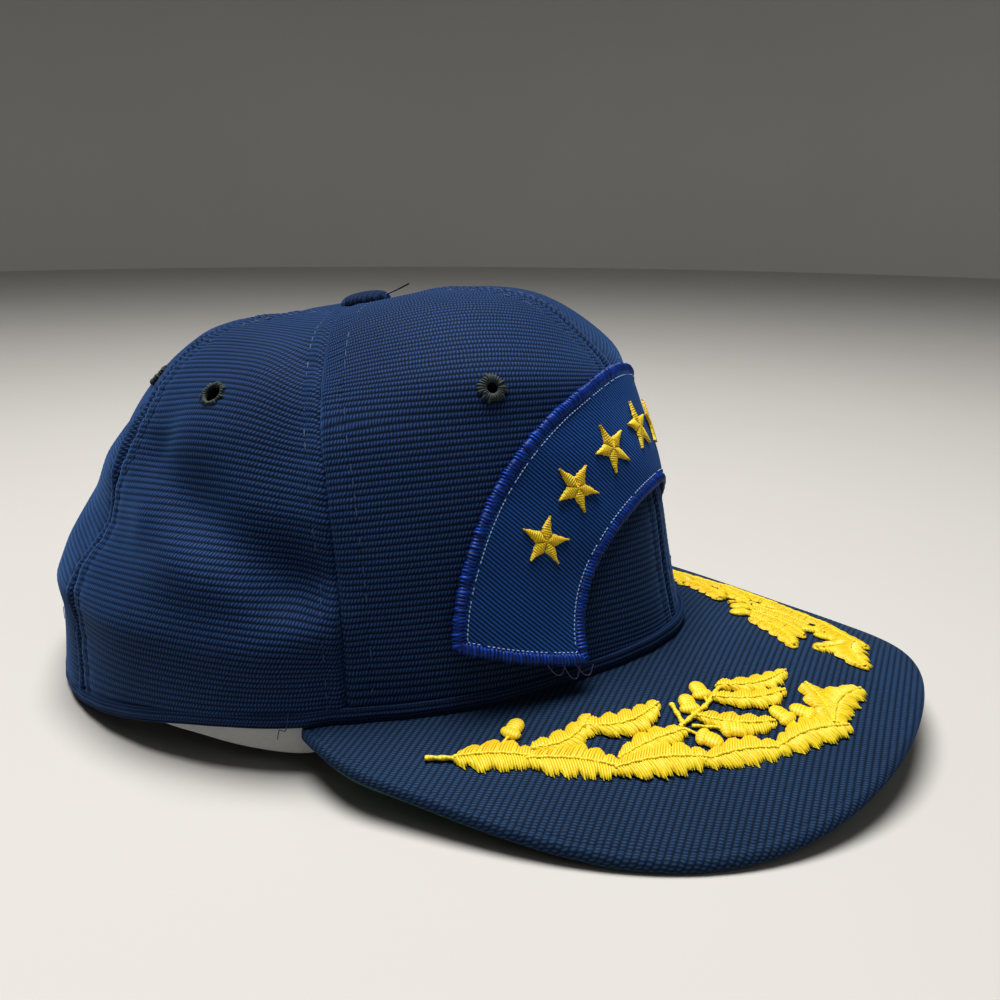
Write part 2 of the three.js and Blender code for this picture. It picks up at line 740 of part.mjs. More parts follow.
function patchStar(number) {
  const turn = (number - (starCount - 1) / 2) * starPitch;
  const radius = (patchOuterRadius + patchInnerRadius) / 2;
  const points = [];
  for (const depth of [-clearance - starThickness, -clearance]) {
    points.push(patchPoint(radius, turn, depth));
    for (let i = 0; i < 10; i += 1) {
      const reach = i % 2 === 0 ? starRadius : starRadius * starWaist;
      const out = reach * Math.cos(i * Math.PI / 5);
      const aside = reach * Math.sin(i * Math.PI / 5);
      points.push(patchPoint(radius + out, turn + aside / radius / radians, depth));
    }
  }
  const faces = [];
  for (let i = 0; i < 10; i += 1) {
    const next = (i + 1) % 10;
    faces.push([0, 1 + i, 1 + next], [11, 12 + next, 12 + i], [1 + i, 12 + i, 12 + next, 1 + next]);
  }
  return closedMesh(points, faces);
}

// Leaf embroidery, one row for each leaf from its stalk to its tip. Places are shares of the
// peak's half width and of its whole reach; widths and bends are shares of the leaf's length.
const leaves = [
  { across: 0.850, out: 0.36, toAcross: 0.730, toOut: 0.51, width: 0.42, bend: 0.06 },
  { across: 0.750, out: 0.49, toAcross: 0.670, toOut: 0.63, width: 0.42, bend: 0.05 },
  { across: 0.690, out: 0.61, toAcross: 0.540, toOut: 0.74, width: 0.40, bend: 0.06 },
  { across: 0.570, out: 0.72, toAcross: 0.420, toOut: 0.83, width: 0.40, bend: 0.06 },
  { across: 0.450, out: 0.81, toAcross: 0.250, toOut: 0.91, width: 0.40, bend: 0.08 },
  { across: 0.285, out: 0.88, toAcross: 0.055, toOut: 0.91, width: 0.46, bend: 0.12 },
  { across: 0.275, out: 0.88, toAcross: 0.115, toOut: 0.82, width: 0.46, bend: -0.06 },
  { across: 0.715, out: 0.49, toAcross: 0.515, toOut: 0.55, width: 0.40, bend: -0.16 },
  { across: 0.585, out: 0.54, toAcross: 0.395, toOut: 0.64, width: 0.40, bend: -0.14 },
  { across: 0.655, out: 0.61, toAcross: 0.465, toOut: 0.69, width: 0.38, bend: 0.04 },
  { across: 0.265, out: 0.70, toAcross: 0.075, toOut: 0.80, width: 0.32, bend: -0.12 },
  { across: 0.325, out: 0.70, toAcross: 0.185, toOut: 0.81, width: 0.34, bend: -0.10 },
  { across: 0.415, out: 0.69, toAcross: 0.335, toOut: 0.81, width: 0.38, bend: -0.08 },
];
const acorns = [
  { across: 0.66, out: 0.452, stalkAcross: 0.725, stalkOut: 0.45 },
  { across: 0.377, out: 0.674, stalkAcross: 0.425, stalkOut: 0.69 },
  { across: 0.305, out: 0.682, stalkAcross: 0.345, stalkOut: 0.70 },
  { across: 0.307, out: 0.808, stalkAcross: 0.345, stalkOut: 0.85 },
  { across: 0.265, out: 0.836, stalkAcross: 0.275, stalkOut: 0.88 },
  { across: 0.42, out: 0.745, stalkAcross: 0.455, stalkOut: 0.69 },
  { across: 0.483, out: 0.718, stalkAcross: 0.475, stalkOut: 0.68 },
];
const stems = [
  { across: 0.475, out: 0.675, toAcross: 0.365, toOut: 0.698 },
  { across: 0.375, out: 0.698, toAcross: 0.225, toOut: 0.710 },
  { across: 0.395, out: 0.650, toAcross: 0.465, toOut: 0.680 },
];
const acornRadius = 0.042;
const stemWidth = 1.5;

function planPoint(side, across, out) {
  return new THREE.Vector2(-side * across * brimHalfWidth - embroideryShift, -out * (frontReach + brimReach));
}

function prism(outline) {
  const depth = 2 * crownHeight;
  const geometry = new THREE.ExtrudeGeometry(new THREE.Shape(outline), { depth, bevelEnabled: false });
  return toSolid(geometry.translate(0, 0, -depth / 2));
}

function leafOutline(side, leaf) {
  const from = planPoint(side, leaf.across, leaf.out);
  const to = planPoint(side, leaf.toAcross, leaf.toOut);
  const length = from.distanceTo(to);
  const along = to.clone().sub(from).normalize();
  const aside = new THREE.Vector2(-along.y, along.x).multiplyScalar(side);
  const steps = 9;
  const lobes = 3;
  const edge = (i, hand) => {
    const t = i / steps;
    const swell = Math.sin(Math.PI * t ** 0.85) ** 0.6 * (1 + 0.16 * Math.cos(2 * Math.PI * lobes * t));
    const middle = from.clone().addScaledVector(along, length * t)
      .addScaledVector(aside, leaf.bend * length * Math.sin(Math.PI * t));
    return middle.addScaledVector(aside, hand * Math.max(swell * leaf.width / 2, 0.03) * length);
  };
  const outline = [];
  for (let i = 0; i <= steps; i += 1) outline.push(edge(i, 1));
  for (let i = steps; i >= 0; i -= 1) outline.push(edge(i, -1));
  return outline;
}

function strip(from, to, width) {
  const aside = to.clone().sub(from).normalize();
  aside.set(-aside.y, aside.x).multiplyScalar(width / 2);
  return [from.clone().add(aside), to.clone().add(aside), to.clone().sub(aside), from.clone().sub(aside)];
}

function acornOutline(centre) {
  const sides = 6;
  return Array.from({ length: sides }, (_, i) => {
    const turn = 2 * Math.PI * i / sides;
    const radius = acornRadius * brimHalfWidth;
    return new THREE.Vector2(centre.x + radius * Math.cos(turn), centre.y + radius * Math.sin(turn));
  });
}

function embroidery(side) {
  const outlines = leaves.map((leaf) => leafOutline(side, leaf));
  for (const acorn of acorns) {
    const centre = planPoint(side, acorn.across, acorn.out);
    const stalk = planPoint(side, acorn.stalkAcross, acorn.stalkOut);
    outlines.push(acornOutline(centre), strip(centre, stalk, stemWidth));
  }
  for (const stem of stems) {
    const from = planPoint(side, stem.across, stem.out);
    outlines.push(strip(from, planPoint(side, stem.toAcross, stem.toOut), stemWidth));
  }
  let shape = prism(outlines[0]);
  for (const outline of outlines.slice(1)) shape = shape.add(prism(outline));
  const place = (share, rise, lift) => {
    const foot = brimFoot(side * lerp(0.01, 0.99, share), lerp(0.02, 0.98, rise), 0);
    return new THREE.Vector3(foot.x, foot.y, brimTop(foot.x, foot.y) + lift);
  };
  const top = clearance + embroideryThickness;
  const slab = sheet((i, j) => place(i, j, top), (i, j) => place(i, j, clearance), 12, 4);
  return fromSolid(toSolid(slab).intersect(shape));
}

// Materials and assembly
const navyCloth = new THREE.MeshStandardMaterial({ color: 0x1a2338, roughness: 0.85, metalness: 0 });
const whiteBand = new THREE.MeshStandardMaterial({ color: 0xd9d3c6, roughness: 0.7, metalness: 0 });
const greenCloth = new THREE.MeshStandardMaterial({ color: 0x1f5a3c, roughness: 0.85, metalness: 0 });
const darkPlastic = new THREE.MeshStandardMaterial({ color: 0x14181f, roughness: 0.45, metalness: 0 });
const thread = new THREE.MeshStandardMaterial({ color: 0x1e2832, roughness: 0.7, metalness: 0 });
const goldThread = new THREE.MeshStandardMaterial({ color: 0xf2cc0c, roughness: 0.45, metalness: 0 });
const patchTwill = new THREE.MeshStandardMaterial({ color: 0x1b2750, roughness: 0.8, metalness: 0 });
const blueThread = new THREE.MeshStandardMaterial({ color: 0x1c3a8c, roughness: 0.5, metalness: 0 });

const cap = new THREE.Group();
function add(name, geometry, material) {
  const mesh = new THREE.Mesh(geometry, material.clone());
  mesh.name = name;
  cap.add(mesh);
}

const gores = [
  { name: 'front', from: seams.front, to: seams.side, wall: stiffWall, eyeletShare: 0.5, eyeletLevel: 0.553,
    shares: evenShares(8) },
  { name: 'side', from: seams.side, to: seams.back, wall: softWall, eyeletShare: 0.54, eyeletLevel: 0.525,
    shares: evenShares(8) },
  { name: 'rear', from: seams.back, to: seams.rear, wall: softWall, eyeletShare: 0.5, eyeletLevel: 0.51,
    shares: rearShares() },
];
for (const [hand, side] of [['right', 1], ['left', -1]]) {
  for (const row of gores) {
    add(`${row.name}_panel_${hand}`, gore(side, row), navyCloth);
    add(`${row.name}_eyelet_${hand}`, eyelet(side, row), thread);
  }
}
add('crown_hem', hemBand(), navyCloth);
add('opening_binding', openingBinding(), navyCloth);
add('sweatband', sweatband(), whiteBand);
add('rear_strap', rearStrap(), darkPlastic);
add('crown_button', crownButton(), navyCloth);
for (const [hand, side] of [['right', 1], ['left', -1]]) {
  add(`brim_embroidery_${hand}`, embroidery(side), goldThread);
}
add('patch', patchBase(), patchTwill);
add('patch_border', patchBorder(), blueThread);
for (let number = 0; number < starCount; number += 1) {
  add(`patch_star_${number + 1}`, patchStar(number), goldThread);
}
add('brim', brim(), navyCloth);
add('brim_underside', brimUnderside(), greenCloth);

// The origin is the middle of the cap's box, on the table
const box = new THREE.Box3().setFromObject(cap);
const middle = box.getCenter(new THREE.Vector3());
cap.position.set(-middle.x, -middle.y, -box.min.z);

export default cap;
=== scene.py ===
import math

import bpy
import numpy as np
from bpy.props import FloatProperty, FloatVectorProperty, IntProperty, PointerProperty
from mathutils import Matrix, Vector


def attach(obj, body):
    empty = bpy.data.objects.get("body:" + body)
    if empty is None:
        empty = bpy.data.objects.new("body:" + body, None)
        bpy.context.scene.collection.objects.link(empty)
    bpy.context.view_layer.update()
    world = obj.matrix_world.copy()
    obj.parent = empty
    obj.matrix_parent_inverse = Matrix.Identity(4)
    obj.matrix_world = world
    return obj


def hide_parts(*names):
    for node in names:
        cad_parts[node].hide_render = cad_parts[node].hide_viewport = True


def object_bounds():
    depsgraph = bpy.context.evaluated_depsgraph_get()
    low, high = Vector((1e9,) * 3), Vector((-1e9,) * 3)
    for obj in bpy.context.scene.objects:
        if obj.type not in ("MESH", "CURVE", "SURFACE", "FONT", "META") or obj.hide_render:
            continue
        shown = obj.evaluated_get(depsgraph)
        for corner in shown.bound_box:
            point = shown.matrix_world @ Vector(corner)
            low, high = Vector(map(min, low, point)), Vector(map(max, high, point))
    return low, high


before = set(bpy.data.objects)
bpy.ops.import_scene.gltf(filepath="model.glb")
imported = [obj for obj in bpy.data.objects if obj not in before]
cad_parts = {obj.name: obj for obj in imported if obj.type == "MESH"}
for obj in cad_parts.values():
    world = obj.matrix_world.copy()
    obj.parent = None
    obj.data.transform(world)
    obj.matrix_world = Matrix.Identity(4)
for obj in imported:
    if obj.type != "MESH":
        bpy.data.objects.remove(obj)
cad_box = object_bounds()

bl_info = {
    "name": "Ribbed Cap With Leaf Peak",
    "version": (1, 0, 0),
    "blender": (4, 5, 0),
    "location": "View3D > Sidebar > Cap",
    "description": "Dresses a six-gore cap: ribbed cloth, satin leaves, patch, peak and bands",
    "category": "Add Mesh",
}

# Lengths in the tables and formulas are millimetres, and meshes are metres
MM = 0.001
BODY = "root"
TURN = 2 * math.pi

# The crown and the peak, with the angle counted from the front towards the wearer's right
FRONT_REACH = 97.0
HALF_WIDTH = 83.6
REAR_REACH = 98.0
CROWN_HEIGHT = 112.0
SIDE_HEM_HEIGHT = 11.9
STIFF_WALL = 1.8
SOFT_WALL = 1.2
CLEARANCE = 0.3
BRIM_REACH = 64.7
BRIM_HALF_WIDTH = 86.3
BRIM_THICKNESS = 2.2
UNDERSIDE_THICKNESS = 1.0
UNDERSIDE_INSET = 0.9
BRIM_TIP_DROP = 6.2
BRIM_SIDE_DROP = 17.9
BRIM_FLARE = 0.68
NOSE_SLOPE_SHARE = 0.255
BRIM_CORNER_ANGLE = 72.0
BRIM_TUCK = 2.4
BRIM_FRONT_START = 0.515
BRIM_FRONT_POWER = 3.03
BRIM_SIDE_POWER = 2.12
BRIM_FRONT_SWEEP = 0.84
HEM_BAND_HEIGHT = 3.2
HEM_BAND_PROUD = 0.8
BINDING_WIDTH = 3.4
BINDING_PROUD = 0.6
OPENING_HALF_WIDTH = 46.0
OPENING_HEIGHT = 52.0
OPENING_POWER = 2.2
STRAP_HEIGHT = 19.0
STRAP_THICKNESS = 1.1
STRAP_TUCK = 12.0
SWEATBAND_HEIGHT = 30.0
SWEATBAND_THICKNESS = 1.2
SWEATBAND_SHOW = 9.2
STRAP_INSET = SOFT_WALL + 2 * CLEARANCE
SWEATBAND_INSET = max(STIFF_WALL, STRAP_INSET + STRAP_THICKNESS) + CLEARANCE
BUTTON_RADIUS = 7.2
BUTTON_HEIGHT = 4.0
BUTTON_SEAT_RADIUS = 9.0
BUTTON_TILT = math.radians(11)
TIP_RADIUS = 3.0
SEAT_SHARE = 0.943
EYELET_RADIUS = 3.3
EYELET_HOLE_RADIUS = 1.3
FOLD_WIDTH = 10.0
FOLD_DEPTH = 4.4

PATCH_OUTER_RADIUS = 73.0
PATCH_INNER_RADIUS = 39.5
PATCH_TOP_HEIGHT = 93.0
PATCH_LEG_ANGLE = 8.0
PATCH_INNER_LEG_ANGLE = 1.5
PATCH_THICKNESS = 1.0
PATCH_STANDOFF = 0.6
PATCH_LEG_LIFT = 5.0
PATCH_LEG_START = 45.0
PATCH_LEAN = 0.947
OUTER_LIFT_SHARE = 0.6
PATCH_BORDER_WIDTH = 3.0
STAR_RADIUS = 6.6
STAR_THICKNESS = 0.8
STAR_WAIST = 0.42
STAR_COUNT = 7
STAR_PITCH = 17.5
EMBROIDERY_SHIFT = 3.0

# The button's axis in the frame: the whole box starts at the peak's front edge
AXIS_Y = cad_box[0][1] / MM + FRONT_REACH + BRIM_REACH

# Crown sections, a row for each angle: radius shares of the reach and height shares of the
# crown's height at stations from the hem to the button
SECTIONS = [
    dict(angle=0, reach=FRONT_REACH, hem=1.000, band=(0.979, 0.250), wall=(0.947, 0.371),
         waist=(0.919, 0.498), chest=(0.873, 0.625), shoulder=(0.807, 0.750), brow=(0.732, 0.857),
         crest=(0.536, 0.980), dome=(0.268, 0.999)),
    dict(angle=30, reach=FRONT_REACH, hem=0.887, band=(0.882, 0.250), wall=(0.867, 0.375),
         waist=(0.848, 0.500), chest=(0.818, 0.625), shoulder=(0.779, 0.750), brow=(0.728, 0.862),
         crest=(0.510, 0.977), dome=(0.258, 0.990)),
    dict(angle=60, reach=HALF_WIDTH, hem=0.958, band=(0.957, 0.250), wall=(0.951, 0.375),
         waist=(0.933, 0.500), chest=(0.895, 0.625), shoulder=(0.831, 0.750), brow=(0.724, 0.857),
         crest=(0.538, 0.948), dome=(0.287, 0.971)),
    dict(angle=90, reach=HALF_WIDTH, hem=1.000, band=(1.014, 0.250), wall=(0.981, 0.375),
         waist=(0.937, 0.500), chest=(0.873, 0.625), shoulder=(0.789, 0.750), brow=(0.652, 0.857),
         crest=(0.455, 0.915), dome=(0.239, 0.945)),
    dict(angle=120, reach=HALF_WIDTH, hem=1.058, band=(1.055, 0.250), wall=(1.029, 0.375),
         waist=(0.930, 0.482), chest=(0.888, 0.620), shoulder=(0.795, 0.741), brow=(0.648, 0.857),
         crest=(0.485, 0.920), dome=(0.239, 0.940)),
    dict(angle=150, reach=REAR_REACH, hem=0.955, band=(0.950, 0.250), wall=(0.905, 0.366),
         waist=(0.836, 0.496), chest=(0.772, 0.616), shoulder=(0.658, 0.745), brow=(0.530, 0.850),
         crest=(0.385, 0.908), dome=(0.194, 0.926)),
    dict(angle=180, reach=REAR_REACH, hem=1.000, band=(0.990, 0.250), wall=(0.939, 0.375),
         waist=(0.872, 0.491), chest=(0.796, 0.625), shoulder=(0.694, 0.741), brow=(0.561, 0.830),
         crest=(0.388, 0.884), dome=(0.194, 0.922)),
]
STATIONS = ("band", "wall", "waist", "chest", "shoulder", "brow", "crest", "dome")
STATION_LEVELS = (0, 0.105, 0.195, 0.29, 0.385, 0.485, 0.585, 0.715, 0.855, 0.945, 1)

# The bottom edge behind the peak, as shares of the height at the side
SIDE_HEM = [
    dict(angle=90, height=1.00), dict(angle=100, height=0.80), dict(angle=110, height=0.56),
    dict(angle=120, height=0.34), dict(angle=130, height=0.14), dict(angle=142, height=0.04),
    dict(angle=152, height=0.00), dict(angle=180, height=0.00),
]
# The seams' angles at a few levels, the gores between them, and the folds from place to place
SEAM_LEVELS = (0, 0.195, 0.385, 0.485, 0.715, 1)
SEAMS = {
    "front": (0, 0, 0, 0, 0, 0),
    "side": (64.3, 64.8, 67, 69, 73, 76),
    "back": (122, 121, 120, 120, 121, 122),
    "rear": (180, 180, 180, 180, 180, 180),
}
GORES = {
    "front": dict(start="front", end="side", wall=STIFF_WALL, eye_share=0.5, eye_level=0.553, soft=0.3),
    "side": dict(start="side", end="back", wall=SOFT_WALL, eye_share=0.54, eye_level=0.525, soft=1.0),
    "rear": dict(start="back", end="rear", wall=SOFT_WALL, eye_share=0.5, eye_level=0.51, soft=1.0),
}
FOLDS = [
    dict(a=76, h=0.86, to_a=74, to_h=0.42, width=0.7, depth=0.76),
    dict(a=109, h=0.66, to_a=72, to_h=0.43, width=0.9, depth=1.0),
    dict(a=104, h=0.53, to_a=70, to_h=0.36, width=0.8, depth=-0.65),
    dict(a=132, h=0.31, to_a=78, to_h=0.30, width=0.6, depth=-0.35),
    dict(a=140, h=0.72, to_a=158, to_h=0.50, width=1.2, depth=0.74),
]
# How far the sweatband shows under the hem, as shares of the most it shows
SWEATBAND_DROP = [
    dict(angle=0, drop=0.37), dict(angle=40, drop=0.49), dict(angle=70, drop=1.00),
    dict(angle=82, drop=0.83), dict(angle=95, drop=0.43), dict(angle=108, drop=0.02),
    dict(angle=125, drop=-0.11), dict(angle=180, drop=-0.11),
]

# Leaves from stalk to tip, as shares of the peak's half width and of its whole reach
LEAVES = [
    dict(x=0.822, y=0.395, to_x=0.725, to_y=0.515, width=0.46, bend=0.06),
    dict(x=0.750, y=0.49, to_x=0.670, to_y=0.63, width=0.42, bend=0.05),
    dict(x=0.690, y=0.61, to_x=0.540, to_y=0.74, width=0.40, bend=0.06),
    dict(x=0.570, y=0.72, to_x=0.420, to_y=0.83, width=0.40, bend=0.06),
    dict(x=0.450, y=0.81, to_x=0.250, to_y=0.91, width=0.40, bend=0.08),
    dict(x=0.285, y=0.88, to_x=0.055, to_y=0.91, width=0.46, bend=0.12),
    dict(x=0.275, y=0.88, to_x=0.115, to_y=0.82, width=0.46, bend=-0.06),
    dict(x=0.715, y=0.49, to_x=0.515, to_y=0.55, width=0.40, bend=-0.16),
    dict(x=0.585, y=0.54, to_x=0.395, to_y=0.64, width=0.40, bend=-0.14),
    dict(x=0.655, y=0.61, to_x=0.465, to_y=0.69, width=0.38, bend=0.04),
    dict(x=0.265, y=0.70, to_x=0.075, to_y=0.80, width=0.32, bend=-0.12),
    dict(x=0.325, y=0.70, to_x=0.185, to_y=0.81, width=0.34, bend=-0.10),
    dict(x=0.415, y=0.69, to_x=0.335, to_y=0.81, width=0.38, bend=-0.08),
]
ACORNS = [
    dict(x=0.660, y=0.452, stalk_x=0.725, stalk_y=0.450),
    dict(x=0.377, y=0.674, stalk_x=0.425, stalk_y=0.690),
    dict(x=0.305, y=0.682, stalk_x=0.345, stalk_y=0.700),
    dict(x=0.307, y=0.808, stalk_x=0.345, stalk_y=0.850),
    dict(x=0.265, y=0.836, stalk_x=0.275, stalk_y=0.880),
    dict(x=0.420, y=0.745, stalk_x=0.455, stalk_y=0.690),
    dict(x=0.483, y=0.718, stalk_x=0.475, stalk_y=0.680),
]
STEMS = [
    dict(x=0.475, y=0.675, to_x=0.365, to_y=0.698),
    dict(x=0.375, y=0.698, to_x=0.225, to_y=0.710),
    dict(x=0.395, y=0.650, to_x=0.465, to_y=0.680),
    dict(x=0.850, y=0.360, to_x=0.815, to_y=0.403),
]


def smooth(knots, rows, x):
    """A smooth curve through unevenly spaced values; rows may hold one column for each x."""
    knots = np.asarray(knots, float)
    rows = np.asarray(rows, float)
    x = np.asarray(x, float)
    if rows.ndim == 1:
        rows = np.repeat(rows[:, None], x.size, axis=1)
    low = np.maximum(np.arange(len(knots)) - 1, 0)
    high = np.minimum(np.arange(len(knots)) + 1, len(knots) - 1)
    slope = (rows[high] - rows[low]) / (knots[high] - knots[low])[:, None]
    at = np.clip(np.searchsorted(knots, x, side="right") - 1, 0, len(knots) - 2)
    span = knots[at + 1] - knots[at]
    t = np.clip((x - knots[at]) / span, 0, 1)
    i = np.arange(x.size)
    return ((2 * t**3 - 3 * t**2 + 1) * rows[at, i] + (t**3 - 2 * t**2 + t) * span * slope[at, i]
            + (3 * t**2 - 2 * t**3) * rows[at + 1, i] + (t**3 - t**2) * span * slope[at + 1, i])


def power(value, exponent):
    return np.sign(value) * np.abs(value) ** (2 / exponent)


def turned(angle):
    """The angle's distance from the front, from 0 to 180 degrees."""
    turn = np.abs(np.asarray(angle, float)) % 360
    return np.where(turn > 180, 360 - turn, turn)


def around(values, angle):
    angles = [row["angle"] for row in SECTIONS]
    knots = [-angles[1], *angles, 360 - angles[-2]]
    return smooth(knots, [values[1], *values, values[-2]], turned(angle))


def hem_radius(angle):
    return around([row["hem"] * row["reach"] for row in SECTIONS], angle)


def polar(radius, angle):
    angle = np.radians(angle)
    return -radius * np.sin(angle), -radius * np.cos(angle)


def brim_drop(x, y):
    out = (-y - FRONT_REACH) / BRIM_REACH
    flare = 1 + BRIM_FLARE * np.clip(out, -1, 1.1)
    nose = BRIM_TIP_DROP * out * (NOSE_SLOPE_SHARE + (1 - NOSE_SLOPE_SHARE) * out)
    return nose + BRIM_SIDE_DROP * flare * (x / BRIM_HALF_WIDTH) ** 2


def brim_outline(turn):
    """The peak's outer edge on the wearer's right, from the front tip (0) to the corner (1)."""
    turn = np.asarray(turn, float)
    start = FRONT_REACH * BRIM_FRONT_START
    corner_x, corner_y = polar(hem_radius([BRIM_CORNER_ANGLE])[0] + 2 * CLEARANCE, BRIM_CORNER_ANGLE)
    t = np.clip(turn / BRIM_FRONT_SWEEP, 0, 1) * math.pi / 2
    out = start + (FRONT_REACH + BRIM_REACH - start) * power(np.cos(t), BRIM_FRONT_POWER)
    side = BRIM_HALF_WIDTH * power(np.sin(t), BRIM_SIDE_POWER)
    late = np.clip((turn - BRIM_FRONT_SWEEP) / (1 - BRIM_FRONT_SWEEP), 0, 1)
    out = np.where(turn > BRIM_FRONT_SWEEP, start + (-corner_y - start) * late, out)
    side = np.where(turn > BRIM_FRONT_SWEEP, BRIM_HALF_WIDTH - (BRIM_HALF_WIDTH + corner_x) * late**2, side)
    return -side, -out


def brim_root_height():
    x, y = brim_outline(np.linspace(0, 1, 201))
    stack = BRIM_THICKNESS + CLEARANCE + UNDERSIDE_THICKNESS
    length = np.hypot(x, y)
    inner = 1 - UNDERSIDE_INSET / length
    return max((brim_drop(x, y) + BRIM_THICKNESS).max(), (brim_drop(x * inner, y * inner) + stack).max())


BRIM_ROOT = brim_root_height()


def brim_top(x, y):
    return BRIM_ROOT - brim_drop(x, y)


def seat_height(forward):
    return SEAT_SHARE * CROWN_HEIGHT + forward * math.tan(BUTTON_TILT)


def hem_height(angle):
    turn = turned(angle)
    corner = brim_top(*polar(hem_radius([BRIM_CORNER_ANGLE]), BRIM_CORNER_ANGLE))[0] + 2 * CLEARANCE
    front = brim_top(*polar(hem_radius(turn), turn)) + 2 * CLEARANCE
    knots = [BRIM_CORNER_ANGLE, *[row["angle"] for row in SIDE_HEM]]
    heights = [corner, *[row["height"] * SIDE_HEM_HEIGHT for row in SIDE_HEM]]
    return np.where(turn <= BRIM_CORNER_ANGLE, front, smooth(knots, heights, turn))


def meridian(angle, level):
    turn = turned(angle)
    radii = [hem_radius(turn)]
    heights = [hem_height(turn)]
    for station in STATIONS:
        radii.append(around([row[station][0] * row["reach"] for row in SECTIONS], turn))
        heights.append(around([row[station][1] * CROWN_HEIGHT for row in SECTIONS], turn))
    forward = np.cos(np.radians(turn))
    for radius in (BUTTON_SEAT_RADIUS, TIP_RADIUS):
        radii.append(np.full(turn.shape, radius))
        heights.append(seat_height(radius * forward))
    radius = smooth(STATION_LEVELS, radii, level)
    height = smooth(STATION_LEVELS, heights, level)
    return radius, np.where(radius < BUTTON_SEAT_RADIUS, seat_height(radius * forward), height)


def smooth_crown(angle, level):
    radius, height = meridian(angle, level)
    x, y = polar(radius, angle)
    return np.stack([x, y, height], axis=-1)


def unit(vectors):
    return vectors / np.maximum(np.linalg.norm(vectors, axis=-1, keepdims=True), 1e-9)


def crown_normal(angle, level):
    level = np.asarray(level, float)
    across = smooth_crown(angle + 0.5, level) - smooth_crown(angle - 0.5, level)
    up = smooth_crown(angle, np.clip(level + 0.006, 0, 1)) - smooth_crown(angle, np.clip(level - 0.006, 0, 1))
    return unit(np.cross(up, across))


def fold_into(angle, level):
    radius, height = meridian(angle, level)
    turn = turned(angle)
    depth = np.zeros(turn.shape)
    for fold in FOLDS:
        along = np.stack([np.radians(fold["to_a"] - fold["a"]) * radius,
                          np.full(turn.shape, (fold["to_h"] - fold["h"]) * CROWN_HEIGHT)], axis=-1)
        here = np.stack([np.radians(turn - fold["a"]) * radius, height - fold["h"] * CROWN_HEIGHT], axis=-1)
        t = np.clip((here * along).sum(-1) / (along**2).sum(-1), 0, 1)
        distance = np.linalg.norm(here - along * t[:, None], axis=-1)
        depth += fold["depth"] * FOLD_DEPTH * np.exp(-((distance / (fold["width"] * FOLD_WIDTH)) ** 2))
    return depth


def crown_point(angle, level, lift=0.0):
    """Points of the folded crown, lifted off its face by a distance."""
    angle = np.asarray(angle, float)
    level = np.asarray(level, float)
    out = np.asarray(lift) - fold_into(angle, level)
    return smooth_crown(angle, level) + crown_normal(angle, level) * out[..., None]


def level_at(angle, height):
    low = np.zeros(np.shape(angle))
    high = np.full(np.shape(angle), 0.7)
    for _ in range(22):
        middle = (low + high) / 2
        below = meridian(angle, middle)[1] < height
        low = np.where(below, middle, low)
        high = np.where(below, high, middle)
    return (low + high) / 2


def seam_angle(seam, level):
    return smooth(SEAM_LEVELS, SEAMS[seam], level)


def opening_edge(distance, grow):
    share = np.clip(np.abs(distance) / (OPENING_HALF_WIDTH + grow), 0, 1)
    return (OPENING_HEIGHT + grow) * (1 - share**OPENING_POWER) ** (1 / OPENING_POWER)


def ripple(u, v, wave, seed):
    """A slow unevenness of cloth between -1 and 1, the same on each run."""
    rng = np.random.default_rng(seed)
    total = np.zeros(np.shape(u))
    turns = rng.uniform(0, TURN, 6)
    phases = rng.uniform(0, TURN, 6)
    stretches = rng.uniform(0.7, 1.6, 6)
    for turn, phase, stretch in zip(turns, phases, stretches):
        total += np.sin(TURN * stretch / wave * (u * math.cos(turn) + v * math.sin(turn)) + phase)
    return total / 3


def deselect():
    if bpy.context.object and bpy.context.object.mode != "OBJECT":
        bpy.ops.object.mode_set(mode="OBJECT")
    bpy.ops.object.select_all(action="DESELECT")


def activate(piece):
    deselect()
    piece.select_set(True)
    bpy.context.view_layer.objects.active = piece


def in_edit(piece, *steps):
    """Runs edit-mode steps on the whole mesh of a piece."""
    activate(piece)
    bpy.ops.object.mode_set(mode="EDIT")
    bpy.ops.mesh.select_all(action="SELECT")
    for step in steps:
        step()
    bpy.ops.object.mode_set(mode="OBJECT")


def apply_modifier(piece, kind, **values):
    activate(piece)
    modifier = piece.modifiers.new(kind.title(), kind)
    for name, value in values.items():
        setattr(modifier, name, value)
    bpy.ops.object.modifier_apply(modifier=modifier.name)


def grid_shares(piece, columns, rows):
    co = np.empty(len(piece.data.vertices) * 3, np.float32)
    piece.data.vertices.foreach_get("co", co)
    co = co.reshape(-1, 3).astype(float)
    i = np.rint((co[:, 0] + 0.5) * columns).astype(int)
    j = np.rint((co[:, 1] + 0.5) * rows).astype(int)
    return i, j


def set_uv(piece, uv):
    """Lays the cloth's own lengths, in millimetres, on the mesh as its map."""
    layer = piece.data.uv_layers.active or piece.data.uv_layers.new()
    layer.name = "cloth"
    loops = np.empty(len(piece.data.loops), np.int32)
    piece.data.loops.foreach_get("vertex_index", loops)
    layer.data.foreach_set("uv", np.ascontiguousarray(uv[loops], np.float32).ravel())


def move_vertices(piece, points):
    piece.data.vertices.foreach_set("co", np.ascontiguousarray(points * MM, np.float32).ravel())
    piece.data.update()


def grid_piece(name, columns, rows, place):
    """A grid whose vertices go where place(column, row) puts them: points and cloth lengths."""
    deselect()
    bpy.ops.mesh.primitive_grid_add(x_subdivisions=columns, y_subdivisions=rows, size=1)
    piece = bpy.context.object
    piece.name = name
    piece.data.name = name
    i, j = grid_shares(piece, columns, rows)
    points, uv = place(i, j)
    points = points + np.array([0, AXIS_Y, 0])
    move_vertices(piece, points)
    set_uv(piece, uv)
    return piece


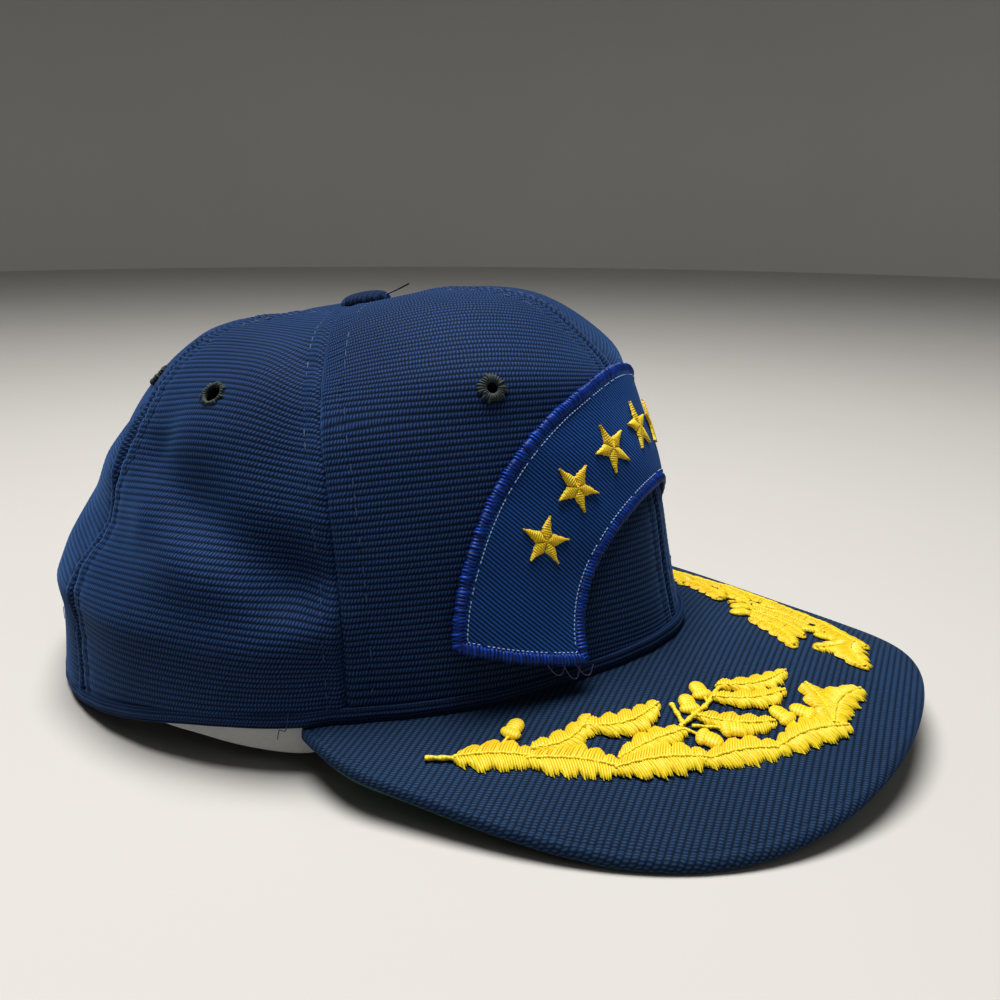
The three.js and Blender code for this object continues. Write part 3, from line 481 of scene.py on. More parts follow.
def face_out(piece, outward):
    """Turns the faces over if they point against the given direction at their places."""
    mesh = piece.data
    count = len(mesh.polygons)
    normals = np.empty(count * 3, np.float32)
    centres = np.empty(count * 3, np.float32)
    mesh.polygons.foreach_get("normal", normals)
    mesh.polygons.foreach_get("center", centres)
    want = outward(centres.reshape(-1, 3) / MM - np.array([0, AXIS_Y, 0]))
    if (normals.reshape(-1, 3) * want).sum() < 0:
        in_edit(piece, bpy.ops.mesh.flip_normals)


def from_axis(centres):
    return unit(centres - np.array([0, 0, 0.45 * CROWN_HEIGHT]))


def upwards(centres):
    return np.broadcast_to(np.array([0.0, 0.0, 1.0]), centres.shape)


def merge(piece, distance=0.004):
    in_edit(piece, lambda: bpy.ops.mesh.remove_doubles(threshold=distance * MM))


def shade(piece, angle=60):
    activate(piece)
    bpy.ops.object.shade_smooth_by_angle(angle=math.radians(angle))


def thicken(piece, wall, offset=-1):
    apply_modifier(piece, "SOLIDIFY", thickness=wall * MM, offset=offset, use_even_offset=False)


def tube_piece(name, centre, out, up, section, closed=False, tone=None):
    """A bar along centre points; section(count) gives [out, up] offsets for each stop."""
    stops = len(centre)
    sides = section.shape[-2]
    rows = stops if closed else stops - 1
    step = np.linalg.norm(np.diff(centre, axis=0, append=centre[:1]), axis=1)
    along = np.concatenate([[0], np.cumsum(step)])
    shape = np.broadcast_to(section, (stops, sides, 2))
    rim = np.linalg.norm(np.diff(shape[0], axis=0, append=shape[0][:1]), axis=1)
    girth = np.concatenate([[0], np.cumsum(rim)])

    def place(i, j):
        stop = j % stops
        side = i % sides
        points = centre[stop] + out[stop] * shape[stop, side, :1] + up[stop] * shape[stop, side, 1:]
        across = girth[i] if tone is None else np.full(len(i), tone)
        return points, np.stack([along[j], across], axis=-1)

    piece = grid_piece(name, sides, rows, place)
    merge(piece, 0.0005)
    if not closed:
        in_edit(piece, lambda: bpy.ops.mesh.select_all(action="DESELECT"),
                bpy.ops.mesh.select_non_manifold, bpy.ops.mesh.edge_face_add)
    in_edit(piece, lambda: bpy.ops.mesh.normals_make_consistent(inside=False))
    return piece


def path_frames(points, out_hint, closed=False):
    """Out and up directions along a path, square to it."""
    if closed:
        along = unit(np.roll(points, -1, axis=0) - np.roll(points, 1, axis=0))
    else:
        along = unit(np.gradient(points, axis=0))
    up = unit(np.cross(along, out_hint))
    return unit(np.cross(up, along)), up


def even_path(points, pitch, closed=False):
    """The path's points again, spaced evenly, about a pitch apart."""
    if closed:
        points = np.vstack([points, points[:1]])
    length = np.concatenate([[0], np.cumsum(np.linalg.norm(np.diff(points, axis=0), axis=1))])
    count = max(int(round(length[-1] / pitch)), 2)
    spots = np.linspace(0, length[-1], count + 1)
    result = np.stack([np.interp(spots, length, points[:, k]) for k in range(3)], axis=-1)
    return result[:-1] if closed else result


def round_section(radius, sides=8, flat=1.0):
    turn = np.linspace(0, TURN, sides, endpoint=False)
    return np.stack([radius * flat * np.sin(turn), radius * np.cos(turn)], axis=-1)


def join(name, pieces):
    activate(pieces[0])
    for piece in pieces:
        piece.select_set(True)
    if len(pieces) > 1:
        bpy.ops.object.join()
    joined = bpy.context.object
    joined.name = name
    joined.data.name = name
    return joined


def copies(name, template, matrices):
    """One joined mesh of a template set at each place, each copy with its own mesh."""
    pieces = []
    for matrix in matrices:
        piece = template.copy()
        piece.data = template.data.copy()
        piece.data.transform(matrix)
        bpy.context.collection.objects.link(piece)
        pieces.append(piece)
    bpy.data.objects.remove(template)
    return join(name, pieces)


def stitch_template(length, radius):
    deselect()
    bpy.ops.mesh.primitive_uv_sphere_add(segments=6, ring_count=4, radius=radius * MM)
    piece = bpy.context.object
    points = np.array([v.co for v in piece.data.vertices])
    points = points[:, [2, 0, 1]] / MM
    points[:, 0] *= length / (2 * radius)
    move_vertices(piece, points)
    return piece


def stitch_places(points, normals, keep=1.0, seed=1):
    """Placing matrices for stitches lying along a path, with some left out."""
    rng = np.random.default_rng(seed)
    along = unit(np.gradient(points, axis=0))
    side = unit(np.cross(normals, along))
    out = np.cross(along, side)
    matrices = []
    for a, s, o, p in zip(along, side, out, points + np.array([0, AXIS_Y, 0])):
        if rng.random() > keep:
            continue
        basis = Matrix((a, s, o)).transposed().to_4x4()
        matrices.append(Matrix.Translation(Vector(p * MM)) @ basis)
    return matrices


def finish_piece(piece, material, slot, *nodes):
    piece.data.materials.clear()
    piece.data.materials.append(material)
    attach(piece, BODY)
    if nodes:
        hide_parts(*nodes)
    return piece


# Settings a user would change
class CapSizes(bpy.types.PropertyGroup):
    rib_pitch: FloatProperty(name="Rib pitch", description="Distance between the cloth's ribs",
                             default=0.00155, unit="LENGTH")
    rib_depth: FloatProperty(name="Rib depth", description="Height of a rib over its valley",
                             default=0.00020, unit="LENGTH")
    rib_steps: IntProperty(name="Steps a rib", description="Mesh rows across each rib", default=4)
    dash_length: FloatProperty(name="Dash length", description="Length of one woven dash along a rib",
                               default=0.00085, unit="LENGTH")
    stitch_pitch: FloatProperty(name="Stitch pitch", description="Distance between seam stitches",
                                default=0.0034, unit="LENGTH")
    satin_pitch: FloatProperty(name="Satin pitch", description="Distance between satin threads",
                               default=0.00070, unit="LENGTH")
    satin_height: FloatProperty(name="Satin height", description="Height of a satin leaf",
                                default=0.0012, unit="LENGTH")
    merrow_pitch: FloatProperty(name="Edge stitch pitch",
                                description="Distance between the patch's edge stitches",
                                default=0.0009, unit="LENGTH")


class CapColours(bpy.types.PropertyGroup):
    navy: FloatVectorProperty(name="Navy", description="The crown cloth", subtype="COLOR", size=3,
                              default=(0.0056, 0.0145, 0.040))
    peak_navy: FloatVectorProperty(name="Peak navy", description="The peak's cloth", subtype="COLOR", size=3,
                                   default=(0.0080, 0.0190, 0.042))
    gold: FloatVectorProperty(name="Gold", description="Bright side of the satin thread", subtype="COLOR",
                              size=3, default=(0.70, 0.64, 0.020))
    deep_gold: FloatVectorProperty(name="Deep gold", description="Shaded side of the satin thread",
                                   subtype="COLOR", size=3, default=(0.76, 0.47, 0.005))
    patch_blue: FloatVectorProperty(name="Patch blue", description="The patch's twill", subtype="COLOR",
                                    size=3, default=(0.0085, 0.0380, 0.132))
    edge_blue: FloatVectorProperty(name="Edge blue", description="The patch's overlocked edge",
                                   subtype="COLOR", size=3, default=(0.0030, 0.0300, 0.190))
    green: FloatVectorProperty(name="Green", description="The cloth under the peak", subtype="COLOR",
                               size=3, default=(0.010, 0.075, 0.040))
    band_white: FloatVectorProperty(name="Band white", description="The sweatband", subtype="COLOR",
                                    size=3, default=(0.44, 0.45, 0.45))


def sizes():
    return bpy.context.scene.cap_sizes


def colours():
    return bpy.context.scene.cap_colours


def in_mm(name):
    return getattr(sizes(), name) / MM


# Materials
class Wiring:
    """Adds nodes to a tree and links them by socket name."""

    def __init__(self, tree):
        self.tree = tree

    def add(self, kind, settings=None, **sockets):
        node = self.tree.nodes.new(kind)
        for name, value in (settings or {}).items():
            setattr(node, name, value)
        for name, value in sockets.items():
            self.put(node, name.replace("_", " "), value)
        return node

    def put(self, node, name, value):
        socket = node.inputs[int(name)] if name.isdigit() else node.inputs[name]
        if isinstance(value, bpy.types.NodeSocket):
            self.tree.links.new(value, socket)
        elif isinstance(value, bpy.types.Node):
            self.tree.links.new(value.outputs[0], socket)
        else:
            socket.default_value = value

    def math(self, operation, *values):
        node = self.add("ShaderNodeMath", dict(operation=operation))
        for index, value in enumerate(values):
            self.put(node, str(index), value)
        return node.outputs[0]

    def mix(self, factor, low, high):
        node = self.add("ShaderNodeMix", dict(data_type="RGBA"))
        self.put(node, "0", factor)
        self.put(node, "6", low)
        self.put(node, "7", high)
        return node.outputs[2]

    def wave(self, phase):
        """A value from 0 to 1 that swings once for each whole step of the phase."""
        turned_phase = self.math("MULTIPLY", phase, TURN)
        swing = self.math("COSINE", turned_phase)
        return self.math("MULTIPLY_ADD", swing, -0.5, 0.5)

    def noise(self, vector, scale, detail=2.0):
        node = self.add("ShaderNodeTexNoise", None, Vector=vector, Scale=scale, Detail=detail)
        return node.outputs[0]


def shader_group(name, inputs, outputs, build):
    """A node group with named sockets, built once and then shared."""
    group = bpy.data.node_groups.get(name)
    if group:
        return group
    group = bpy.data.node_groups.new(name, "ShaderNodeTree")
    for label, kind, default in inputs:
        socket = group.interface.new_socket(label, in_out="INPUT", socket_type=kind)
        if default is not None:
            socket.default_value = default
    for label, kind in outputs:
        group.interface.new_socket(label, in_out="OUTPUT", socket_type=kind)
    wiring = Wiring(group)
    entry = wiring.add("NodeGroupInput")
    leave = wiring.add("NodeGroupOutput")
    for label, value in build(wiring, entry).items():
        wiring.put(leave, label, value)
    return group


def ribbed_weave():
    """Ribs made of short slanted dashes, each row half a dash out of step with the last."""
    def build(w, entry):
        place = w.add("ShaderNodeSeparateXYZ", None, Vector=entry.outputs["Vector"])
        row = w.math("DIVIDE", place.outputs[1], entry.outputs["Rib pitch"])
        part = w.math("FRACT", row)
        number = w.math("FLOOR", row)
        crest = w.math("POWER", w.wave(part), 0.6)
        wander = w.math("MULTIPLY", w.noise(entry.outputs["Vector"], 0.30, 2.0), 1.3)
        step = w.math("DIVIDE", place.outputs[0], entry.outputs["Dash length"])
        offset = w.add("ShaderNodeTexWhiteNoise", dict(noise_dimensions="1D"), W=number).outputs["Value"]
        slant = w.math("MULTIPLY", part, entry.outputs["Slant"])
        phase = w.math("ADD", w.math("ADD", step, offset), w.math("ADD", slant, wander))
        dash = w.wave(phase)
        # The bright dashes along the rib crests, which the cloth paints as a highlight
        lit = w.math("MULTIPLY", crest, w.math("POWER", dash, 1.4))
        height = w.math("MULTIPLY", crest, w.math("MULTIPLY_ADD", dash, 0.5, 0.5))
        return {"Crest": crest, "Dash": lit, "Height": height}
    return shader_group("ribbed_weave",
                        [("Vector", "NodeSocketVector", None), ("Rib pitch", "NodeSocketFloat", 1.5),
                         ("Dash length", "NodeSocketFloat", 1.0), ("Slant", "NodeSocketFloat", 0.5)],
                        [("Crest", "NodeSocketFloat"), ("Dash", "NodeSocketFloat"),
                         ("Height", "NodeSocketFloat")], build)


def worn_tone():
    """Slow and fine unevenness of a dyed cloth, from 0 to 1, and its lint."""
    def build(w, entry):
        slow = w.noise(entry.outputs["Vector"], entry.outputs["Slow scale"], 3.0)
        fine = w.noise(entry.outputs["Vector"], entry.outputs["Fine scale"], 2.0)
        tone = w.math("ADD", w.math("MULTIPLY", slow, 0.65), w.math("MULTIPLY", fine, 0.35))
        lint = w.math("GREATER_THAN", w.noise(entry.outputs["Vector"], 900.0, 0.0), 0.80)
        return {"Tone": tone, "Lint": lint}
    return shader_group("worn_tone",
                        [("Vector", "NodeSocketVector", None), ("Slow scale", "NodeSocketFloat", 25.0),
                         ("Fine scale", "NodeSocketFloat", 600.0)],
                        [("Tone", "NodeSocketFloat"), ("Lint", "NodeSocketFloat")], build)


def new_material(name):
    """A material with its shader, its tree's wiring and the object's own coordinates."""
    material = bpy.data.materials.new(name)
    material.use_nodes = True
    tree = material.node_tree
    wiring = Wiring(tree)
    shader = next(n for n in tree.nodes if n.type == "BSDF_PRINCIPLED")
    place = wiring.add("ShaderNodeTexCoord").outputs["Object"]
    return material, wiring, shader, place


def tint(colour, factor):
    return (*[min(c * factor, 1.0) for c in colour], 1.0)


# Ribbed cloth whose colour holds painted shade in the rib valleys (dark) and a painted highlight on the crest
# dashes (light)
def ribbed_cloth(name, colour, pitch, dash, slant=0.75, light=4.6, dark=0.32, sheen=0.24, bump=0.28):
    material, w, shader, place = new_material(name)
    cloth = w.add("ShaderNodeUVMap", dict(uv_map="cloth"))
    weave = w.add("ShaderNodeGroup", dict(node_tree=ribbed_weave()), Vector=cloth, Slant=slant)
    w.put(weave, "Rib pitch", pitch)
    w.put(weave, "Dash length", dash)
    tone = w.add("ShaderNodeGroup", dict(node_tree=worn_tone()), Vector=place)
    # Painted shade: the rib valleys are painted darker, down to the dark share of the colour
    shaded_valleys = w.mix(weave.outputs["Crest"], tint(colour, dark), tint(colour, 1.0))
    # Painted highlight: the dashes along the crests are painted up to the light share of the colour
    lit = w.mix(weave.outputs["Dash"], shaded_valleys, tint(colour, light))
    shade_factor = w.math("MULTIPLY_ADD", tone.outputs["Tone"], 0.9, 0.55)
    aged = w.add("ShaderNodeMix", dict(data_type="RGBA", blend_type="MULTIPLY"))
    w.put(aged, "0", 1.0)
    w.put(aged, "6", lit)
    grey = w.add("ShaderNodeCombineColor", None, Red=shade_factor, Green=shade_factor, Blue=shade_factor)
    w.put(aged, "7", grey)
    w.put(shader, "Base Color", aged.outputs[2])
    shader.inputs["Roughness"].default_value = 0.78
    shader.inputs["Sheen Weight"].default_value = sheen
    shader.inputs["Sheen Roughness"].default_value = 0.45
    shader.inputs["Sheen Tint"].default_value = (0.20, 0.45, 1.0, 1.0)
    shader.inputs["Specular IOR Level"].default_value = 0.10
    relief = w.add("ShaderNodeBump", None, Strength=bump, Distance=0.25 * MM, Height=weave.outputs["Height"])
    w.put(shader, "Normal", relief)
    return material


def satin(name, bright, shaded):
    """Silky thread: filaments along each stitch, with painted shade on one side of a leaf and in the grooves
    between threads.
    """
    material, w, shader, place = new_material(name)
    cloth = w.add("ShaderNodeUVMap", dict(uv_map="cloth"))
    parts = w.add("ShaderNodeSeparateXYZ", None, Vector=cloth)
    # Painted shade: the half of each leaf on one side of its vein is painted in the shaded gold
    side = w.math("MULTIPLY_ADD", parts.outputs[1], 0.7, 0.28)
    dye = w.add("ShaderNodeTexWhiteNoise", dict(noise_dimensions="1D"), W=w.math("FLOOR", parts.outputs[0]))
    uneven = w.noise(place, 260.0, 2.0)
    spread = w.math("MULTIPLY_ADD", dye.outputs["Value"], 0.35, w.math("MULTIPLY_ADD", uneven, 1.1, -0.6))
    clear = w.add("ShaderNodeClamp", None, Value=w.math("ADD", side, spread))
    colour = w.mix(clear.outputs[0], tint(bright, 1.0), tint(shaded, 1.0))
    groove = w.wave(w.math("FRACT", parts.outputs[0]))
    filament = w.wave(w.math("MULTIPLY", parts.outputs[0], 4.0))
    # Painted shade in the grooves between the satin threads and between their filaments
    dim = w.mix(w.math("POWER", groove, 0.5), tint(shaded, 0.62), colour)
    fine = w.mix(w.math("MULTIPLY_ADD", filament, 0.5, 0.5), tint(shaded, 0.9), dim)
    w.put(shader, "Base Color", fine)
    shader.inputs["Roughness"].default_value = 0.42
    shader.inputs["Sheen Weight"].default_value = 0.25
    shader.inputs["Sheen Tint"].default_value = (1.0, 0.9, 0.5, 1.0)
    shader.inputs["Specular IOR Level"].default_value = 0.45
    thread = w.math("MULTIPLY_ADD", filament, 0.4, w.math("MULTIPLY", groove, 0.6))
    relief = w.add("ShaderNodeBump", None, Strength=0.5, Distance=0.12 * MM, Height=thread)
    w.put(shader, "Normal", relief)
    return material


def twill(name, colour, pitch, lean):
    """Close diagonal ribs of a woven twill, with a painted highlight on the ribs and painted shade between
    them.
    """
    material, w, shader, place = new_material(name)
    cloth = w.add("ShaderNodeUVMap", dict(uv_map="cloth"))
    parts = w.add("ShaderNodeSeparateXYZ", None, Vector=cloth)
    along = w.math("MULTIPLY", parts.outputs[0], math.cos(lean) / pitch)
    across = w.math("MULTIPLY", parts.outputs[1], math.sin(lean) / pitch)
    phase = w.math("ADD", along, across)
    rib = w.wave(phase)
    weft = w.wave(w.math("SUBTRACT", w.math("MULTIPLY", parts.outputs[0], math.sin(lean) / 0.45),
                         w.math("MULTIPLY", parts.outputs[1], math.cos(lean) / 0.45)))
    tone = w.add("ShaderNodeGroup", dict(node_tree=worn_tone()), Vector=place)
    lit = w.math("MULTIPLY", rib, w.math("MULTIPLY_ADD", weft, 0.35, 0.65))
    # Painted light and shade: the lit ribs go up to 2.6 times the colour and the gaps between them down to
    # 0.30
    base = w.mix(lit, tint(colour, 0.30), tint(colour, 2.6))
    shade_factor = w.math("MULTIPLY_ADD", tone.outputs["Tone"], 0.5, 0.75)
    aged = w.add("ShaderNodeMix", dict(data_type="RGBA", blend_type="MULTIPLY"))
    grey = w.add("ShaderNodeCombineColor", None, Red=shade_factor, Green=shade_factor, Blue=shade_factor)
    w.put(aged, "0", 1.0)
    w.put(aged, "6", base)
    w.put(aged, "7", grey)
    w.put(shader, "Base Color", aged.outputs[2])
    shader.inputs["Roughness"].default_value = 0.75
    shader.inputs["Specular IOR Level"].default_value = 0.10
    shader.inputs["Sheen Weight"].default_value = 0.06
    shader.inputs["Sheen Tint"].default_value = (0.20, 0.45, 1.0, 1.0)
    relief = w.add("ShaderNodeBump", None, Strength=0.45, Distance=0.2 * MM, Height=lit)
    w.put(shader, "Normal", relief)
    return material


def plain_thread(name, colour, roughness=0.55, spread=0.5, sheen=0.2):
    """A single thread with twisted plies and uneven dye."""
    material, w, shader, place = new_material(name)
    tone = w.add("ShaderNodeGroup", dict(node_tree=worn_tone()), Vector=place)
    plies = w.noise(place, 2600.0, 1.0)
    level = w.math("MULTIPLY_ADD", plies, 0.6, w.math("MULTIPLY", tone.outputs["Tone"], 0.4))
    base = w.mix(level, tint(colour, 1 - spread), tint(colour, 1 + spread))
    w.put(shader, "Base Color", base)
    shader.inputs["Roughness"].default_value = roughness
    shader.inputs["Sheen Weight"].default_value = sheen
    relief = w.add("ShaderNodeBump", None, Strength=0.4, Distance=0.1 * MM, Height=plies)
    w.put(shader, "Normal", relief)
    return material


def overlock(name, colour, pitch):
    """Close shiny stitches over an edge, with painted highlights along their filaments and painted shade in
    the gaps between them.
    """
    material, w, shader, _ = new_material(name)
    cloth = w.add("ShaderNodeUVMap", dict(uv_map="cloth"))
    parts = w.add("ShaderNodeSeparateXYZ", None, Vector=cloth)
    lean = w.math("MULTIPLY", parts.outputs[1], 0.25)
    count = w.math("DIVIDE", w.math("ADD", parts.outputs[0], lean), pitch)
    dye = w.add("ShaderNodeTexWhiteNoise", dict(noise_dimensions="1D"), W=w.math("FLOOR", count))
    strand = w.wave(w.math("FRACT", count))
    fine = w.wave(w.math("MULTIPLY", count, 3.0))
    # Painted highlight along each stitch's filaments, mixed with the stitch's own uneven dye
    lit = w.math("MULTIPLY_ADD", fine, 0.4, w.math("MULTIPLY", dye.outputs["Value"], 0.6))
    body = w.mix(lit, tint(colour, 0.7), tint(colour, 2.4))
    # Painted shade in the gaps between the stitches
    base = w.mix(w.math("POWER", strand, 0.6), tint(colour, 0.18), body)
    w.put(shader, "Base Color", base)
    shader.inputs["Roughness"].default_value = 0.40
    shader.inputs["Specular IOR Level"].default_value = 0.22
    relief = w.add("ShaderNodeBump", None, Strength=0.6, Distance=0.15 * MM,
                   Height=w.math("MULTIPLY_ADD", fine, 0.3, w.math("MULTIPLY", strand, 0.7)))
    w.put(shader, "Normal", relief)
    return material


def plain_weave(name, colour, pitch, roughness=0.75, depth=0.5):
    """A fine plain weave, for the green cloth and the sweatband."""
    material, w, shader, place = new_material(name)
    cloth = w.add("ShaderNodeUVMap", dict(uv_map="cloth"))
    parts = w.add("ShaderNodeSeparateXYZ", None, Vector=cloth)
    warp = w.wave(w.math("DIVIDE", parts.outputs[0], pitch))
    weft = w.wave(w.math("DIVIDE", parts.outputs[1], pitch))
    grain = w.math("MULTIPLY_ADD", warp, 0.5, w.math("MULTIPLY", weft, 0.5))
    tone = w.add("ShaderNodeGroup", dict(node_tree=worn_tone()), Vector=place)
    dye = w.math("MULTIPLY", tone.outputs["Tone"], 1 - depth)
    level = w.math("ADD", w.math("MULTIPLY", grain, depth), dye)
    base = w.mix(level, tint(colour, 0.72), tint(colour, 1.2))
    w.put(shader, "Base Color", base)
    shader.inputs["Roughness"].default_value = roughness
    shader.inputs["Sheen Weight"].default_value = 0.15
    relief = w.add("ShaderNodeBump", None, Strength=0.35, Distance=0.12 * MM, Height=grain)
    w.put(shader, "Normal", relief)
    return material


def moulded_plastic(name, colour):
    """Matt moulded plastic with a faint grain and rubbed patches."""
    material, w, shader, place = new_material(name)
    tone = w.add("ShaderNodeGroup", dict(node_tree=worn_tone()), Vector=place)
    base = w.mix(tone.outputs["Tone"], tint(colour, 0.8), tint(colour, 1.4))
    w.put(shader, "Base Color", base)
    w.put(shader, "Roughness", w.math("MULTIPLY_ADD", tone.outputs["Tone"], 0.3, 0.3))
    grain = w.noise(place, 3000.0, 2.0)
    relief = w.add("ShaderNodeBump", None, Strength=0.15, Distance=0.05 * MM, Height=grain)
    w.put(shader, "Normal", relief)
    return material


def material(name):
    """The finish of that name, made the first time that it is asked for."""
    known = bpy.data.materials.get(name)
    if known:
        return known
    pitch = in_mm("rib_pitch")
    dash = in_mm("dash_length")
    makers = {
        "crown_ribbed": lambda: ribbed_cloth(name, colours().navy, pitch, dash),
        "hem_ribbed": lambda: ribbed_cloth(name, colours().navy, 1.05, dash, light=3.6, dark=0.35),
        "peak_ribbed": lambda: ribbed_cloth(name, colours().peak_navy, pitch, 0.8 * dash, light=3.0,
                                            dark=0.5, sheen=0.10, bump=0.35),
        "button_ribbed": lambda: ribbed_cloth(name, colours().navy, 1.3, dash, light=1.9),
        "satin_gold": lambda: satin(name, colours().gold, colours().deep_gold),
        "patch_twill_cloth": lambda: twill(name, colours().patch_blue, 0.95, math.radians(140)),
        "edge_thread": lambda: overlock(name, colours().edge_blue, in_mm("merrow_pitch")),
        "seam_thread": lambda: plain_thread(name, (0.018, 0.038, 0.095), 0.6, 0.6),
        "pale_thread": lambda: plain_thread(name, (0.26, 0.36, 0.60), 0.5, 0.5),
        "eyelet_thread_dark": lambda: plain_thread(name, (0.014, 0.026, 0.027), 0.7, 0.6, 0.1),
        "loose_thread_dark": lambda: plain_thread(name, (0.012, 0.016, 0.030), 0.6, 0.4),
        "violet_thread": lambda: plain_thread(name, (0.035, 0.035, 0.13), 0.5, 0.5),
        "green_weave": lambda: plain_weave(name, colours().green, 0.55),
        "band_weave": lambda: plain_weave(name, colours().band_white, 0.5, 0.6, 0.3),
        "strap_plastic_dark": lambda: moulded_plastic(name, (0.012, 0.016, 0.030)),
    }
    return makers[name]()


def rib_height(across):
    """A rounded rib with a narrow valley, from 0 to 1, at a count of ribs."""
    return np.abs(np.sin(np.pi * np.asarray(across))) ** 0.7


# The crown's gores
STITCH_LINES = {"front": (0.0, 4.8), "side": (6.6, 4.4), "back": (4.2, 4.2), "rear": (4.4, 4.4)}


def gore_lower(angle):
    turn = turned(angle)
    hem = hem_height(turn) + 0.3 * HEM_BAND_HEIGHT
    distance = np.radians(180 - turn) * REAR_REACH
    return np.maximum(hem, opening_edge(distance, 0.4 * BINDING_WIDTH))


class GorePattern:
    """A gore laid flat: distances along its middle and the half width there."""

    def __init__(self, side, gore):
        self.side = side
        self.row = GORES[gore]
        self.levels = np.linspace(0, 1, 500)
        start = seam_angle(self.row["start"], self.levels)
        end = seam_angle(self.row["end"], self.levels)
        middle = (start + end) / 2
        points = smooth_crown(middle, self.levels)
        radius = np.hypot(points[:, 0], points[:, 1])
        step = np.linalg.norm(np.diff(points, axis=0), axis=1)
        self.along = np.concatenate([[0], np.cumsum(step)])
        self.half = radius * np.radians(end - start) / 2
        self.curve = np.clip(-np.gradient(radius, self.along) / radius, 0, 0.05)

    def at(self, table, level):
        return np.interp(level, self.levels, table)

    def angle(self, share, level):
        start = seam_angle(self.row["start"], level)
        end = seam_angle(self.row["end"], level)
        return self.side * (start + (end - start) * (share + 1) / 2)

    def level(self, share, height):
        """The level where a straight rib at a height of the flat cloth crosses a share across."""
        level = np.interp(height, self.along, self.levels)
        for _ in range(5):
            x = share * self.at(self.half, level)
            level = np.interp(height - 0.5 * self.at(self.curve, level) * x**2, self.along, self.levels)
        return level

    def height(self, share, level):
        x = share * self.at(self.half, level)
        return self.at(self.along, level) + 0.5 * self.at(self.curve, level) * x**2


def seam_columns(line):
    """Distances from a seam where the cloth needs a column, up to just past its stitches."""
    return np.array([0, 0.5, 1.1, 2.2, line - 0.8, line - 0.35, line, line + 0.35, line + 0.8])


def column_shares(gore, half, count):
    """Shares across a gore for each half width: columns crowd at its seams and stitch rows."""
    row = GORES[gore]
    near = seam_columns(STITCH_LINES[row["start"]][1] or 4.8)
    far = seam_columns(STITCH_LINES[row["end"]][0] or 4.8)
    squeeze = np.minimum(1, half / 22)[:, None] / half[:, None]
    start = -1 + near[None] * squeeze
    end = (1 - far[None] * squeeze)[:, ::-1]
    t = np.linspace(0, 1, count + 3 - near.size - far.size)[None, 1:-1]
    if gore == "rear":
        t = 0.3 * t + 0.7 * np.sin(t * math.pi / 2)
    middle = start[:, -1:] + (end[:, :1] - start[:, -1:]) * t
    return np.concatenate([start, middle, end], axis=1)


def seam_relief(pattern, gore, share, level, height, seed):
    """How the sewn cloth dips at its seams and stitch lines and swells between them."""
    row = GORES[gore]
    half = pattern.at(pattern.half, level)
    relief = np.zeros(share.shape)
    for sign, seam, pick in ((-1, row["start"], 1), (1, row["end"], 0)):
        away = (1 - sign * share) * half
        line = STITCH_LINES[seam][pick]
        relief -= 1.15 * np.exp(-((away / 0.7) ** 2))
        relief += 0.30 * np.exp(-(((away - 0.5 * line) / (0.3 * line)) ** 2))
        pull = 0.6 + 0.4 * np.cos(TURN * height / in_mm("stitch_pitch"))
        relief -= 0.30 * pull * np.exp(-(((away - line) / 0.5) ** 2))
        pucker = ripple(height, height * 0.3 + 50 * sign, 9.0, seed + 3)
        relief += 0.20 * row["soft"] * pucker * np.exp(-away / 9.0)
    return relief


def make_gore(side, gore, hand):
    pattern = GorePattern(side, gore)
    columns = 42
    across = np.linspace(-1, 1, 400)
    lowest = np.zeros(across.size)
    for _ in range(6):
        angle = pattern.angle(across, lowest)
        lowest = level_at(angle, gore_lower(angle))
    low = pattern.height(across, lowest).min()
    high = pattern.along[-1]
    pitch = in_mm("rib_pitch")
    rows = int((high - low) / pitch * sizes().rib_steps)
    heights = np.linspace(low, high, rows + 1)
    half = np.interp(heights, pattern.along, pattern.half)
    shares = column_shares(gore, half, columns)
    reach = pattern.level(shares, np.broadcast_to(heights[:, None], shares.shape))
    first = (reach > np.interp(shares, across, lowest)).argmax(axis=0)
    below = np.arange(rows + 1)[:, None] < first
    shares = np.where(below, shares[first, np.arange(columns + 1)], shares)
    seed = {"front": 11, "side": 23, "rear": 37}[gore]

    def place(i, j):
        share = shares[j, i]
        level = np.clip(pattern.level(share, heights[j]), np.interp(share, across, lowest), 1)
        height = pattern.height(share, level)
        u = share * pattern.at(pattern.half, level)
        lift = in_mm("rib_depth") * (rib_height(height / pitch) - 1)
        lift += seam_relief(pattern, gore, share, level, height, seed)
        lift += 0.55 * GORES[gore]["soft"] * ripple(u, height, 34.0, seed) * np.clip(1.15 - level, 0, 1)
        points = crown_point(pattern.angle(share, level), level, lift)
        return points, np.stack([u * side, height], axis=-1)

    piece = grid_piece(f"cloth_{gore}_{hand}", columns, rows, place)
    merge(piece)
    face_out(piece, from_axis)
    thicken(piece, GORES[gore]["wall"])
    return piece


def eyelet_place(side, gore):
    row = GORES[gore]
    level = np.array([row["eye_level"]])
    start = seam_angle(row["start"], level)
    end = seam_angle(row["end"], level)
    angle = side * (start + (end - start) * row["eye_share"])
    return crown_point(angle, level)[0], crown_normal(angle, level)[0]


def upright_on(point, normal):
    """A matrix that stands an upright piece on a point, along a normal."""
    turn = Vector((0, 0, 1)).rotation_difference(Vector(normal)).to_matrix().to_4x4()
    return Matrix.Translation(Vector((point + np.array([0, AXIS_Y, 0])) * MM)) @ turn


# The front rings are drawn tight, and the softer cloth has pulled the others open
EYELET_HOLES = {"front": EYELET_HOLE_RADIUS, "side": 2.2, "rear": 1.7}


def drill_eyelet(piece, side, gore):
    point, normal = eyelet_place(side, gore)
    deselect()
    bpy.ops.mesh.primitive_cylinder_add(vertices=20, radius=(EYELET_HOLES[gore] + 0.5) * MM, depth=16 * MM)
    drill = bpy.context.object
    drill.data.transform(upright_on(point, normal))
    apply_modifier(piece, "BOOLEAN", operation="DIFFERENCE", object=drill, solver="MANIFOLD")
    bpy.data.objects.remove(drill)


